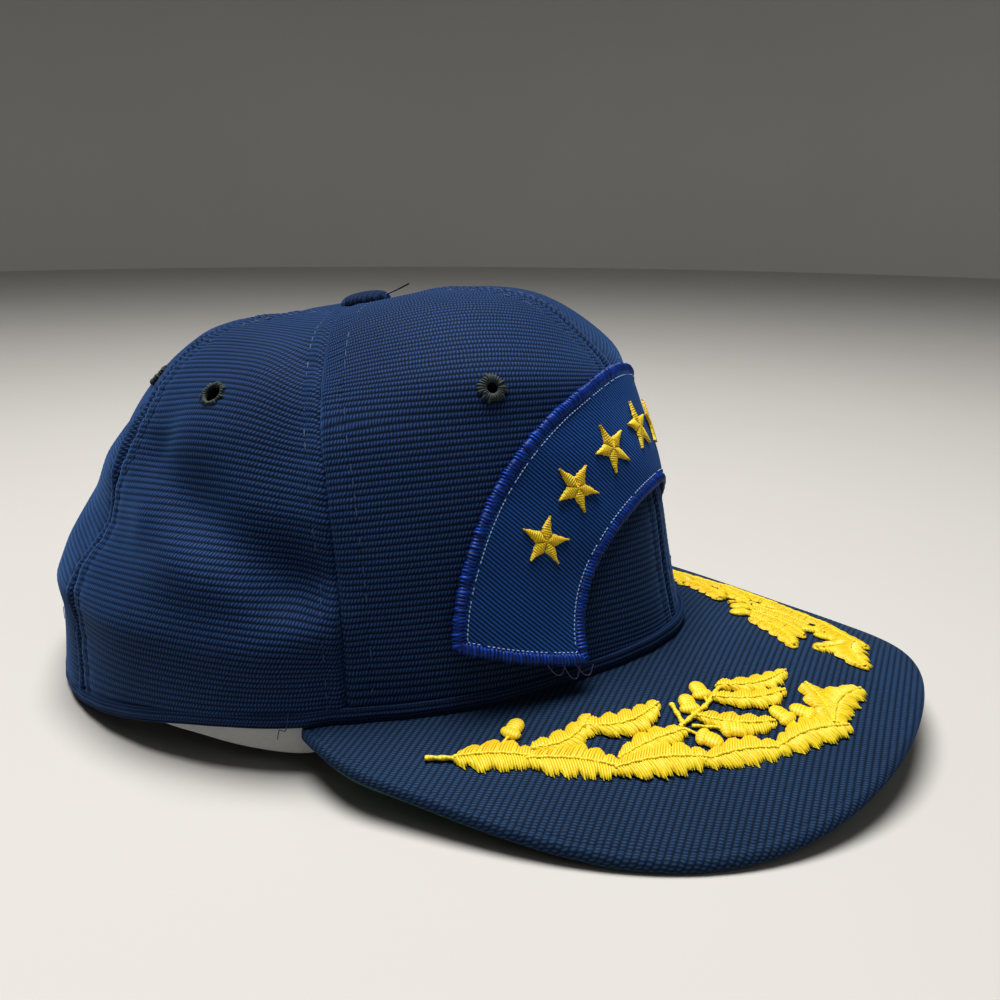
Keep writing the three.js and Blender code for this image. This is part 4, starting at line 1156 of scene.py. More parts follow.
def make_eyelet(side, gore, hand):
    """A ring of thread wound round the hole: radial stitches with uneven outer ends."""
    point, normal = eyelet_place(side, gore)
    stitches = 26
    hole = EYELET_HOLES[gore]
    middle = 0.5 * (EYELET_RADIUS + hole)
    thick = 0.5 * (EYELET_RADIUS - hole)
    deselect()
    bpy.ops.mesh.primitive_torus_add(major_segments=stitches * 6, minor_segments=10,
                                     major_radius=middle * MM, minor_radius=thick * MM)
    piece = bpy.context.object
    piece.name = f"eyelet_ring_{gore}_{hand}"
    co = np.array([v.co for v in piece.data.vertices]) / MM
    turn = np.arctan2(co[:, 1], co[:, 0])
    radius = np.hypot(co[:, 0], co[:, 1])
    count = (turn / TURN + 0.5) * stitches
    rng = np.random.default_rng(len(gore) + 7 * (side > 0))
    thread = np.floor(count).astype(int) % stitches
    ends = rng.uniform(-0.2, 0.75, stitches)[thread]
    swell = rng.uniform(0.8, 1.15, stitches)[thread]
    ridge = np.abs(np.sin(np.pi * count)) ** 0.6
    out = np.clip((radius - middle) / thick, 0, 1)
    radius = radius + out * (ends - 0.55 * (1 - ridge))
    height = co[:, 2] * (0.65 + 0.35 * ridge) * swell * np.where(co[:, 2] > 0, 0.75 / thick, 1.4 / thick)
    points = np.stack([radius * np.cos(turn), radius * np.sin(turn), height + 0.15], axis=-1)
    move_vertices(piece, points)
    set_uv(piece, np.stack([count, height], axis=-1))
    piece.data.transform(upright_on(point, normal))
    shade(piece, 80)
    return piece


def stitch_rows():
    """Points and directions of the broken stitch lines beside each seam of the crown."""
    rows = []
    levels = np.linspace(0.03, 0.97, 400)
    for side in (1, -1):
        for seam, (before, after) in STITCH_LINES.items():
            if seam in ("front", "rear") and side < 0:
                continue
            for hand, offset in ((-1, before or after), (1, after)):
                radius = meridian(seam_angle(seam, levels), levels)[0]
                angle = side * seam_angle(seam, levels) + hand * side * np.degrees(offset / radius)
                fine = radius > offset * 2.2
                points = crown_point(angle[fine], levels[fine], -0.12)
                keep = points[:, 2] > gore_lower(angle[fine]) + 1.5
                normal = crown_normal(angle[fine], levels[fine])
                rows.append((points[keep], normal[keep]))
    return rows


def lay_stitches(name, rows, pitch, length, radius, keep, seed):
    matrices = []
    for number, (points, normals) in enumerate(rows):
        both = even_path(np.hstack([points])[:, :3], pitch)
        spots = np.concatenate([[0], np.cumsum(np.linalg.norm(np.diff(points, axis=0), axis=1))])
        even = np.linspace(0, spots[-1], len(both))
        outs = unit(np.stack([np.interp(even, spots, normals[:, k]) for k in range(3)], axis=-1))
        matrices += stitch_places(both, outs, keep, seed + number)
    return copies(name, stitch_template(length, radius), matrices)


# Bands and edges
def rolled_outline(inside, outside, height, ribs, depth):
    """A turned cloth edge in section, with ribs along its outer face, as [out, up] offsets."""
    turn = np.linspace(-math.pi / 2, math.pi / 2, 19)
    out = outside * np.cos(turn) ** 0.55
    up = height / 2 * np.sin(turn)
    out += depth * (np.abs(np.sin(np.pi * ribs * (turn / math.pi + 0.5))) - 0.5) * np.cos(turn) ** 0.3
    back = np.array([[-inside, 0.42 * height], [-inside, 0.0], [-inside, -0.42 * height]])
    return np.vstack([np.stack([out, up], axis=-1), back])


def hem_path():
    foot = 180 - math.degrees((OPENING_HALF_WIDTH + BINDING_WIDTH + CLEARANCE) / REAR_REACH)
    angle = np.linspace(-foot, foot, 420)
    radius = hem_radius(angle)
    x, y = polar(radius, angle)
    points = np.stack([x, y, hem_height(angle) + HEM_BAND_HEIGHT / 2], axis=-1)
    level = np.interp(turned(angle), [0, 180], [0.01, 0.01])
    normal = crown_normal(angle, level)
    normal[:, 2] = 0
    return points, unit(normal)


def make_hem():
    points, normal = hem_path()
    out, up = path_frames(points, normal)
    length = np.concatenate([[0], np.cumsum(np.linalg.norm(np.diff(points, axis=0), axis=1))])
    section = rolled_outline(SOFT_WALL, HEM_BAND_PROUD, HEM_BAND_HEIGHT + 0.5, 3, 0.30)
    puff = 1 + 0.12 * ripple(length, length * 0.2, 17.0, 4)
    shape = np.repeat(section[None], len(points), axis=0)
    shape[..., 0] = np.where(shape[..., 0] > 0, shape[..., 0] * puff[:, None], shape[..., 0])
    if up[0, 2] < 0:
        up = -up
    piece = tube_piece("hem_roll", points, out, up, shape)
    shade(piece, 50)
    return piece


def binding_path():
    grow = BINDING_WIDTH / 2
    t = np.linspace(0, math.pi, 160)
    distance = (OPENING_HALF_WIDTH + grow) * power(np.cos(t), OPENING_POWER)
    height = np.maximum((OPENING_HEIGHT + grow) * power(np.sin(t), OPENING_POWER), CLEARANCE)
    angle = 180 - np.degrees(distance / REAR_REACH)
    level = level_at(angle, height)
    points = crown_point(angle, level)
    points[:, 2] = np.maximum(points[:, 2], 0.2)
    return even_path(points, 1.2), angle


def make_binding():
    points, _ = binding_path()
    hint = unit(points * np.array([1, 1, 0.25]))
    out, up = path_frames(points, hint)
    section = rolled_outline(SOFT_WALL, BINDING_PROUD + 0.2, BINDING_WIDTH + 0.4, 3, 0.25)
    piece = tube_piece("opening_roll", points, out, up, section)
    shade(piece, 50)
    return piece


def make_sweatband():
    end = 180 - math.degrees((OPENING_HALF_WIDTH + BINDING_WIDTH) / REAR_REACH)
    columns, rows = 220, 26
    knots = [row["angle"] for row in SWEATBAND_DROP]
    drops = [row["drop"] * SWEATBAND_SHOW for row in SWEATBAND_DROP]

    def place(i, j):
        angle = -end + 2 * end * i / columns
        turn = turned(angle)
        hem = hem_height(turn)
        low = np.maximum(hem - smooth(knots, drops, turn), CLEARANCE)
        rise = j / rows
        height = low + (hem + SWEATBAND_HEIGHT - low) * rise
        level = level_at(angle, np.maximum(height, hem))
        point = crown_point(angle, level)
        arc = np.radians(angle) * 0.5 * (HALF_WIDTH + REAR_REACH)
        sag = 0.35 * ripple(arc, height, 38.0, 8) * np.clip(height - low, 0, 4) / 4
        seam = 0.35 * np.exp(-(((rise - 0.9) / 0.012) ** 2))
        radius = np.hypot(point[:, 0], point[:, 1]) - SWEATBAND_INSET + sag * 0.4 - seam
        x, y = polar(radius, angle)
        return np.stack([x, y, height], axis=-1), np.stack([arc, height], axis=-1)

    piece = grid_piece("sweat_band", columns, rows, place)
    face_out(piece, from_axis)
    thicken(piece, SWEATBAND_THICKNESS)
    apply_modifier(piece, "BEVEL", width=0.35 * MM, segments=2, limit_method="ANGLE",
                   angle_limit=math.radians(60))
    shade(piece, 50)
    return piece


def make_strap():
    reach = OPENING_HALF_WIDTH + BINDING_WIDTH + STRAP_TUCK
    columns, rows = 110, 12

    def place(i, j):
        angle = 180 + np.degrees((-reach + 2 * reach * i / columns) / REAR_REACH)
        height = STRAP_HEIGHT * j / rows
        level = level_at(angle, np.maximum(height, hem_height(angle)))
        skin = smooth_crown(angle, level)
        edge = np.minimum(height, STRAP_HEIGHT - height)
        rim = 0.22 * np.exp(-(((edge - 1.6) / 0.5) ** 2))
        x, y = polar(np.hypot(skin[:, 0], skin[:, 1]) - STRAP_INSET - rim, angle)
        return np.stack([x, y, height], axis=-1), np.stack([np.radians(angle) * REAR_REACH, height], axis=-1)

    piece = grid_piece("closing_strap", columns, rows, place)
    face_out(piece, from_axis)
    thicken(piece, STRAP_THICKNESS)
    apply_modifier(piece, "BEVEL", width=0.3 * MM, segments=3, limit_method="ANGLE",
                   angle_limit=math.radians(60))
    shade(piece, 40)
    return piece


def make_button():
    """Cloth drawn over a domed button: ribs across the top, small gathers at its rim."""
    deselect()
    bpy.ops.mesh.primitive_uv_sphere_add(segments=96, ring_count=48, radius=1)
    piece = bpy.context.object
    piece.name = "top_button"
    co = np.array([v.co for v in piece.data.vertices])
    turn = np.arctan2(co[:, 1], co[:, 0])
    flat = np.hypot(co[:, 0], co[:, 1])
    radius = BUTTON_RADIUS * np.clip(flat, 0, 1) ** 0.8
    top = np.clip(co[:, 2], 0, 1) ** 0.75 * BUTTON_HEIGHT
    height = np.where(co[:, 2] > 0, 0.9 + 0.77 * top, 0.9 * (1 + np.clip(co[:, 2], -1, 0) ** 3) - 0.0)
    gather = 0.16 * np.cos(14 * turn) * np.clip(flat - 0.8, 0, 1) / 0.2
    x = (radius + gather) * np.cos(turn)
    y = (radius + gather) * np.sin(turn)
    height = np.where(co[:, 2] > 0, height + 0.12 * (rib_height(y / 1.3) - 1), height)
    move_vertices(piece, np.stack([x, y, height], axis=-1))
    set_uv(piece, np.stack([x, y], axis=-1))
    seat = np.array([0.0, 0.0, float(seat_height(0)) + CLEARANCE])
    normal = np.array([0.0, math.sin(BUTTON_TILT), math.cos(BUTTON_TILT)])
    piece.data.transform(upright_on(seat, normal))
    shade(piece, 60)
    return piece


# The peak
def outline_distance(x, y):
    edge_x, edge_y = brim_outline(np.linspace(0, 1, 500))
    best = np.full(x.shape, 1e9)
    for start in range(0, 500, 50):
        dx = np.abs(x)[:, None] + edge_x[None, start:start + 50]
        dy = y[:, None] - edge_y[None, start:start + 50]
        best = np.minimum(best, np.hypot(dx, dy).min(axis=1))
    return best


def brim_rows(pitch, inset):
    """Front-to-back places of the peak's rows, closer together at the tip."""
    tip = -(FRONT_REACH + BRIM_REACH) + inset
    corner = polar(hem_radius([BRIM_CORNER_ANGLE])[0], BRIM_CORNER_ANGLE)[1]
    regular = np.arange(tip + pitch, corner, pitch)
    early = tip + pitch * np.array([0, 0.01, 0.04, 0.1, 0.2, 0.35, 0.55, 0.78])
    return np.concatenate([early, regular, [corner]])


def brim_spans(rows, inset):
    """Inner and outer distances from the middle for each row of the peak."""
    edge_x, edge_y = brim_outline(np.linspace(0, 1, 2000))
    order = np.argsort(edge_y)
    outer = np.interp(rows - 0.0, edge_y[order] + inset * (edge_y[order] < -120), -edge_x[order]) - inset
    angle = np.linspace(0, BRIM_CORNER_ANGLE, 600)
    x, y = polar(hem_radius(angle) - BRIM_TUCK, angle)
    root_x = np.interp(rows, np.maximum.accumulate(y), -x)
    inner = np.where(rows > y[0], root_x, 0.0)
    outer = np.where(rows <= rows[0] + 1e-6, 0.0, np.maximum(outer, inner + 0.4))
    return inner, outer


def brim_half(name, side, pitch, inset, columns, surface):
    rows = brim_rows(pitch, inset)
    inner, outer = brim_spans(rows, inset)
    shares = np.sin(np.linspace(0, math.pi / 2, columns + 1)) ** 0.9

    def place(i, j):
        x = side * -(inner[j] + (outer[j] - inner[j]) * shares[i])
        y = rows[j]
        return surface(x, y)

    piece = grid_piece(name, columns, len(rows) - 1, place)
    face_out(piece, upwards)
    return piece


def peak_surface(x, y):
    """The peak's upper cloth, its ribs running from side to side, tucked down at its border."""
    away = outline_distance(x, y)
    depth = 0.45 * in_mm("rib_depth")
    ribs = depth * (rib_height(y / in_mm("rib_pitch")) - 1)
    swell = 0.18 * ripple(x, y, 60.0, 3) * np.clip(away / 8, 0, 1)
    tuck = 0.45 * np.clip(1 - (away - 1.5) / 1.6, 0, 1) ** 1.5
    return np.stack([x, y, brim_top(x, y) + ribs + swell - tuck], axis=-1), np.stack([x, y], axis=-1)


def peak_board():
    """The peak's closed body: each section runs from the root over the rounded edge and back."""
    stations = 360
    turn = np.sin(np.linspace(-math.pi / 2, math.pi / 2, stations + 1))
    side = np.where(turn < 0, -1.0, 1.0)
    edge_x, edge_y = brim_outline(np.abs(turn))
    edge_x = edge_x * side
    root_x, root_y = polar(hem_radius(BRIM_CORNER_ANGLE * turn) - BRIM_TUCK, BRIM_CORNER_ANGLE * turn)
    length = np.hypot(edge_x - root_x, edge_y - root_y)
    roll = 0.5 * (BRIM_THICKNESS + UNDERSIDE_THICKNESS)
    arc = np.linspace(0, math.pi, 11)
    top_inset = np.concatenate([[1e9], np.array([30, 16, 8, 5, 3.4, 2.6]), roll * (1 - np.sin(arc))])
    drop = np.concatenate([[0.4, 0.4, 0.4, 0.4, 0.4, 0.35, 0.1], roll * (1 - np.cos(arc))])
    inset = np.concatenate([top_inset, [8, 20, 1e9]])
    drop = np.concatenate([drop, [2 * roll, 2 * roll, 2 * roll]])
    sides = len(inset)

    girth = np.concatenate([np.zeros(7), roll * (arc - np.sin(arc)), roll * math.pi * np.ones(3)])

    def place(i, j):
        share = np.clip(inset[i % sides] / length[j], 0, 1)
        x = edge_x[j] + (root_x[j] - edge_x[j]) * share
        y = edge_y[j] + (root_y[j] - edge_y[j]) * share
        z = brim_top(x, y) - drop[i % sides]
        further = girth[i % sides] / length[j]
        u = x + (edge_x[j] - root_x[j]) * further
        v = y + (edge_y[j] - root_y[j]) * further
        return np.stack([x, y, z], axis=-1), np.stack([u, v], axis=-1)

    piece = grid_piece("peak_board", sides, stations, place)
    merge(piece, 0.003)
    in_edit(piece, lambda: bpy.ops.mesh.select_all(action="DESELECT"),
            bpy.ops.mesh.select_non_manifold, bpy.ops.mesh.edge_face_add)
    in_edit(piece, lambda: bpy.ops.mesh.normals_make_consistent(inside=False))
    return piece


def make_peak():
    pitch = in_mm("rib_pitch") / sizes().rib_steps
    sheet = [brim_half("peak_sheet", side, pitch, 1.5, 36, peak_surface) for side in (1, -1)]
    piece = join("peak_sheet", sheet)
    merge(piece, 0.01)
    thicken(piece, 0.5)
    return join("ribbed_peak", [piece, peak_board()])


def make_underside():
    """The green cloth under the peak, a little inside its edge."""
    def surface(x, y):
        stack = BRIM_THICKNESS + CLEARANCE + UNDERSIDE_THICKNESS
        z = brim_top(x, y) - stack + 0.12 * ripple(x, y, 45.0, 6)
        return np.stack([x, y, z], axis=-1), np.stack([x, y], axis=-1)

    halves = [brim_half("peak_green", side, 1.5, UNDERSIDE_INSET, 34, surface) for side in (1, -1)]
    piece = join("peak_green", halves)
    merge(piece, 0.01)
    in_edit(piece, bpy.ops.mesh.flip_normals)
    thicken(piece, 0.6)
    shade(piece, 50)
    return piece


# The patch
def distance_table():
    heights = np.linspace(15, PATCH_TOP_HEIGHT + 4, 50)
    angles = np.linspace(0, 90, 61)
    grid_a, grid_h = np.meshgrid(angles, heights)
    level = level_at(grid_a.ravel(), grid_h.ravel())
    points = smooth_crown(grid_a.ravel(), level).reshape(50, 61, 3)
    step = np.hypot(np.diff(points[..., 0], axis=1), np.diff(points[..., 1], axis=1))
    return heights, angles, np.concatenate([np.zeros((50, 1)), np.cumsum(step, axis=1)], axis=1)


DISTANCES = distance_table()


def angle_at_distance(distance, height):
    heights, angles, table = DISTANCES
    spot = np.clip((height - heights[0]) / (heights[1] - heights[0]), 0, len(heights) - 1.001)
    low = spot.astype(int)
    part = (spot - low)[:, None]
    rows = table[low] * (1 - part) + table[low + 1] * part
    reach = np.abs(distance)[:, None]
    at = np.clip((rows < reach).sum(axis=1) - 1, 0, len(angles) - 2)
    i = np.arange(len(at))
    share = (reach[:, 0] - rows[i, at]) / (rows[i, at + 1] - rows[i, at])
    return np.sign(distance) * (angles[at] + share * (angles[1] - angles[0]))


def patch_stop(radius, inset):
    share = (radius - PATCH_INNER_RADIUS) / (PATCH_OUTER_RADIUS - PATCH_INNER_RADIUS)
    leg = PATCH_INNER_LEG_ANGLE + (PATCH_LEG_ANGLE - PATCH_INNER_LEG_ANGLE) * share
    return 90 - leg - np.degrees(inset / radius)


def patch_point(radius, turn, lift):
    """Points of the patch and their outward directions; lift is counted from its back."""
    radius, turn = np.broadcast_arrays(np.asarray(radius, float), np.asarray(turn, float))
    distance = radius * np.sin(np.radians(turn))
    height = PATCH_TOP_HEIGHT - (PATCH_OUTER_RADIUS - radius * np.cos(np.radians(turn))) * PATCH_LEAN
    angle = angle_at_distance(distance, height)
    level = level_at(angle, height)
    leg = np.clip((np.abs(turn) - PATCH_LEG_START) / (patch_stop(radius, 0) - PATCH_LEG_START), 0, 1)
    inner = (PATCH_OUTER_RADIUS - radius) / (PATCH_OUTER_RADIUS - PATCH_INNER_RADIUS)
    stand = PATCH_STANDOFF + PATCH_LEG_LIFT * leg**2 * (OUTER_LIFT_SHARE + (1 - OUTER_LIFT_SHARE) * inner)
    normal = crown_normal(angle, level)
    return smooth_crown(angle, level) + normal * (stand + lift)[..., None], normal


def make_patch():
    inset = 0.5 * PATCH_BORDER_WIDTH
    columns, rows = 150, 30

    def place(i, j):
        radius = PATCH_INNER_RADIUS + inset + (PATCH_OUTER_RADIUS - PATCH_INNER_RADIUS - 2 * inset) * j / rows
        stop = patch_stop(radius, inset)
        turn = -stop + 2 * stop * i / columns
        u = radius * np.sin(np.radians(turn))
        v = radius * np.cos(np.radians(turn))
        lift = PATCH_THICKNESS + 0.22 * ripple(u, v, 30.0, 9) - 0.1
        points, _ = patch_point(radius, turn, lift)
        return points, np.stack([u, v], axis=-1)

    piece = grid_piece("arched_patch", columns, rows, place)
    face_out(piece, from_axis)
    thicken(piece, 0.8)
    shade(piece, 50)
    return piece


def patch_route(inset, pitch):
    """The patch's outline, an inset inside its edge, as radius and turn at even steps."""
    low = PATCH_INNER_RADIUS + inset
    high = PATCH_OUTER_RADIUS - inset
    outer = np.linspace(-patch_stop(high, inset), patch_stop(high, inset), 400)
    inner = np.linspace(patch_stop(low, inset), -patch_stop(low, inset), 260)
    leg = np.linspace(high, low, 60)[1:-1]
    radius = np.concatenate([np.full(400, high), leg, np.full(260, low), leg[::-1]])
    turn = np.concatenate([outer, patch_stop(leg, inset), inner, -patch_stop(leg[::-1], inset)])
    u = radius * np.sin(np.radians(turn))
    v = radius * np.cos(np.radians(turn))
    flat = even_path(np.stack([u, v, np.zeros_like(u)], axis=-1), pitch, closed=True)
    return np.hypot(flat[:, 0], flat[:, 1]), np.degrees(np.arctan2(flat[:, 0], flat[:, 1]))


def make_border():
    """The overlocked edge: a rounded rib of close stitches, a little uneven."""
    pitch = in_mm("merrow_pitch")
    radius, turn = patch_route(PATCH_BORDER_WIDTH / 2, pitch / 4)
    centre, normal = patch_point(radius, turn, np.full(radius.shape, 0.45 * PATCH_THICKNESS))
    out, up = path_frames(centre, normal, closed=True)
    count = np.arange(len(radius)) / 4
    rng = np.random.default_rng(14)
    thick = rng.uniform(0.88, 1.12, int(count[-1]) + 2)[np.floor(count).astype(int)]
    ridge = 0.82 + 0.18 * np.abs(np.sin(np.pi * count)) ** 0.6
    shape = np.repeat(round_section(PATCH_BORDER_WIDTH / 2 + 0.1, 12, 0.70)[None], len(count), axis=0)
    shape *= (thick * ridge)[:, None, None]
    piece = tube_piece("overlocked_edge", centre, out, up, shape, closed=True)
    shade(piece, 70)
    return piece


def border_dots():
    pitch = 1.15
    radius, turn = patch_route(PATCH_BORDER_WIDTH + 0.45, pitch)
    centre, normal = patch_point(radius, turn, np.full(radius.shape, PATCH_THICKNESS + 0.1))
    matrices = stitch_places(centre, normal, 0.9, 21)
    return copies("edge_row_stitches", stitch_template(0.8, 0.17), matrices)


def star_arm(number, arm):
    """One arm of a satin star, its threads square to the arm."""
    turn = (number - (STAR_COUNT - 1) / 2) * STAR_PITCH
    middle = (PATCH_OUTER_RADIUS + PATCH_INNER_RADIUS) / 2
    stitches = 11
    columns, rows = stitches * 5, 8
    rng = np.random.default_rng(100 + 10 * number + arm)
    ends = rng.uniform(-0.16, 0.16, (stitches + 1, 2))

    def place(i, j):
        t = i / columns
        w = 2 * j / rows - 1
        thread = np.minimum((t * stitches).astype(int), stitches - 1)
        neck = math.cos(math.pi / 5) * STAR_WAIST
        spread = math.tan(math.pi / 5)
        half = np.where(t < neck, t * spread, (1 - t) / (1 - neck) * neck * spread)
        jag = np.where(w < 0, ends[thread, 0], ends[thread, 1])
        side = w * (half * STAR_RADIUS + jag * np.clip(half * 8, 0, 1) + 0.05)
        direction = TURN * arm / 5
        out = t * STAR_RADIUS * math.cos(direction) - side * math.sin(direction)
        aside = t * STAR_RADIUS * math.sin(direction) + side * math.cos(direction)
        pillow = (1 - np.abs(w) ** 3) * (0.70 + 0.25 * np.abs(np.sin(np.pi * t * stitches)) ** 0.6)
        lift = PATCH_THICKNESS + 0.05 + STAR_THICKNESS * pillow
        points, _ = patch_point(middle + out, turn + np.degrees(aside / middle), lift)
        return points, np.stack([t * stitches, w * 0.5], axis=-1)

    piece = grid_piece("star_arm", columns, rows, place)
    face_out(piece, from_axis)
    thicken(piece, 0.3)
    return piece


def make_star(number):
    piece = join(f"satin_star_{number + 1}", [star_arm(number, arm) for arm in range(5)])
    shade(piece, 70)
    return piece


# The peak's leaf embroidery
def plan_point(side, x, y):
    return np.array([-side * x * BRIM_HALF_WIDTH - EMBROIDERY_SHIFT, -y * (FRONT_REACH + BRIM_REACH)])


def on_peak(x, y, lift):
    return np.stack([x, y, brim_top(x, y) + 0.18 + lift], axis=-1)


def satin_leaf(side, number, leaf):
    """A lobed leaf of satin stitches on both sides of its vein, with uneven thread ends."""
    start = plan_point(side, leaf["x"], leaf["y"])
    end = plan_point(side, leaf["to_x"], leaf["to_y"])
    length = np.linalg.norm(end - start)
    along = (end - start) / length
    aside = np.array([-along[1], along[0]]) * side
    stitches = int(length / in_mm("satin_pitch"))
    columns, rows = stitches * 3, 12
    rng = np.random.default_rng(300 + 20 * number + (side > 0))
    ends = rng.uniform(-1, 1, (stitches + 1, 2))
    plump = rng.uniform(0.8, 1.15, (stitches + 1, 2))
    lobes = max(round(length / 5.0), 3)
    stack = 0.16 * (number % 3)

    def place(i, j):
        t = i / columns
        w = 2 * j / rows - 1
        thread = np.minimum((t * stitches).astype(int), stitches - 1)
        swell = np.sin(np.pi * np.clip(t, 0, 1) ** 0.9) ** 0.45
        phase = lobes * t + np.where(w > 0, 0.0, 0.4)
        scallop = 0.70 + np.where(w > 0, 0.40, 0.30) * np.abs(np.sin(np.pi * phase)) ** 0.7
        comb = np.abs(np.sin(np.pi * t * stitches)) ** 0.6
        jag = np.where(w < 0, 0.55 * ends[thread, 0] - 0.40 * (1 - comb), 0.15 * ends[thread, 1])
        half = swell * scallop * leaf["width"] / 2 * length + jag * np.clip(swell * 2, 0, 1)
        half = np.maximum(half, 0.12)
        slant = 0.50 * np.abs(w) * half * (1 - t) ** 0.5
        middle = leaf["bend"] * length * np.sin(np.pi * t)
        forward = length * t * 0.94 + slant
        sideways = middle + w * half
        x = start[0] + along[0] * forward + aside[0] * sideways
        y = start[1] + along[1] * forward + aside[1] * sideways
        pillow = (1 - np.abs(w) ** 4) ** 0.8 * (1 - 0.25 * np.exp(-((w / 0.16) ** 2)))
        thin = np.clip(half / 2.0, 0.25, 1)
        pile = np.where(w < 0, plump[thread, 0], plump[thread, 1])
        height = in_mm("satin_height") * (pile * (0.72 + 0.28 * comb))
        lift = height * pillow * thin + stack
        return on_peak(x, y, lift), np.stack([t * stitches, w * 0.5], axis=-1)

    piece = grid_piece("leaf", columns, rows, place)
    merge(piece, 0.002)
    face_out(piece, upwards)
    thicken(piece, 0.45)
    t = np.linspace(0.02, 0.97, 40)
    bow = leaf["bend"] * length * np.sin(np.pi * t)
    centre = start + along * (length * 0.94 * t)[:, None] + aside * bow[:, None]
    vein = cord_on_peak(centre, 0.42, 0.88 + stack)
    return [piece, vein]


def cord_on_peak(plan, radius, lift):
    """A twisted cord laid along plan points on the peak."""
    points = on_peak(plan[:, 0], plan[:, 1], np.full(len(plan), lift))
    points = even_path(points, 0.45)
    out, up = path_frames(points, np.broadcast_to(np.array([0.0, 0.0, 1.0]), points.shape))
    twist = np.arange(len(points)) * 0.9
    turn = np.linspace(0, TURN, 8, endpoint=False)
    bulge = radius * (1 + 0.22 * np.cos(2 * turn[None] + twist[:, None]))
    shape = np.stack([bulge * np.sin(turn), bulge * np.cos(turn)], axis=-1)
    return tube_piece("cord", points, out, up, shape, tone=-0.45)


def satin_acorn(side, acorn):
    """A nut and its cup, each of satin thread, on a short cord."""
    centre = plan_point(side, acorn["x"], acorn["y"])
    stalk = plan_point(side, acorn["stalk_x"], acorn["stalk_y"])
    axis = unit(centre - stalk)
    aside = np.array([-axis[1], axis[0]])
    pieces = []
    for reach, shift, long_half, wide_half in (("nut", 0.9, 2.9, 2.1), ("cup", -1.3, 1.7, 2.5)):
        deselect()
        bpy.ops.mesh.primitive_uv_sphere_add(segments=40, ring_count=20, radius=1)
        piece = bpy.context.object
        co = np.array([v.co for v in piece.data.vertices])
        ridge = 1 + 0.07 * np.abs(np.sin(7 * np.pi * (co[:, 0] if reach == "nut" else co[:, 1]))) ** 0.6
        forward = co[:, 0] * long_half + shift
        sideways = co[:, 1] * wide_half * ridge
        x = centre[0] + axis[0] * forward + aside[0] * sideways
        y = centre[1] + axis[1] * forward + aside[1] * sideways
        lift = np.where(co[:, 2] > 0, 1.25 * co[:, 2] ** 0.8 * ridge, 0.12 * co[:, 2])
        move_vertices(piece, on_peak(x, y, np.nan_to_num(lift) + 0.1) + np.array([0, AXIS_Y, 0]))
        grain = co[:, 0] if reach == "nut" else co[:, 1]
        set_uv(piece, np.stack([grain * 3.5, -co[:, 1] * 0.3], axis=-1))
        pieces.append(piece)
    plan = stalk + (centre - axis * 2.0 - stalk) * np.linspace(0, 1, 12)[:, None]
    pieces.append(cord_on_peak(plan, 0.45, 0.35))
    return pieces


def make_embroidery(side, hand):
    pieces = []
    for number, leaf in enumerate(LEAVES):
        pieces += satin_leaf(side, number, leaf)
    for acorn in ACORNS:
        pieces += satin_acorn(side, acorn)
    for stem in STEMS:
        start = plan_point(side, stem["x"], stem["y"])
        end = plan_point(side, stem["to_x"], stem["to_y"])
        pieces.append(cord_on_peak(start + (end - start) * np.linspace(0, 1, 20)[:, None], 0.6, 0.5))
    piece = join(f"satin_leaves_{hand}", pieces)
    shade(piece, 75)
    return piece


def thread_curve(name, points, radius):
    """A loose thread through a few points, in millimetres from the button's axis."""
    points = np.array(points, float)
    t = np.arange(len(points))
    fine = np.linspace(0, len(points) - 1, 12 * (len(points) - 1) + 1)
    path = np.stack([smooth(t, points[:, k], fine) for k in range(3)], axis=-1)
    out, up = path_frames(path, np.broadcast_to(np.array([0.31, 0.22, 0.92]), path.shape))
    return tube_piece(name, path, out, up, round_section(radius, 6))


def crown_route(angle, level, lifts):
    """Points that leave the crown at a place, each further along and further off."""
    return [crown_point([a], [v], [lift])[0] for a, v, lift in zip(angle, level, lifts)]


def make_dark_ends():
    """The thread end beside the button and the frayed ends at the hem."""
    seat = float(seat_height(0))
    button = thread_curve("end", [(-2, -3, seat + 2.4), (0.5, -6, seat + 3.6), (2.6, -9.2, seat + 5.2),
                                  (3.6, -12.2, seat + 6.8)], 0.26)
    hem = thread_curve("end", crown_route([74, 74.5, 75.1, 75.6], [0.03, 0.0, 0.0, 0.0], [0.4, 1.2, 1.6, 1.4])
                       + [crown_point([75.9], [0.0], [1.8])[0] - np.array([0, 0, 2.2])], 0.12)
    fray = thread_curve("end", crown_route([150, 150.4, 150.9, 151.6], [0.06, 0.05, 0.05, 0.035],
                                           [0.2, 1.3, 2.2, 2.6]), 0.10)
    return join("dark_thread_ends", [button, hem, fray])


def make_patch_ends():
    """Loops of thread hanging under the patch's lower corner."""
    pieces = []
    for start, sag in ((51.0, 1.5), (47.0, 2.3), (43.5, 1.9)):
        radius = start - np.array([0.0, 1.6, 3.2, 4.6])
        turn = patch_stop(radius, 0) + np.array([-0.2, 1.6, 1.9, -0.1]) * sag
        points, _ = patch_point(radius, turn, np.full(4, 0.5))
        pieces.append(thread_curve("end", points, 0.15))
    return join("patch_thread_ends", pieces)


# Operators
class CAP_OT_crown(bpy.types.Operator):
    """Six gores of ribbed cloth, each with its eyelet hole"""
    bl_idname = "cap.crown"
    bl_label = "Crown gores"

    def execute(self, context):
        for hand, side in (("right", 1), ("left", -1)):
            for gore in GORES:
                piece = make_gore(side, gore, hand)
                drill_eyelet(piece, side, gore)
                shade(piece, 70)
                finish_piece(piece, material("crown_ribbed"), "crown_cloth", f"{gore}_panel_{hand}")
        return {"FINISHED"}


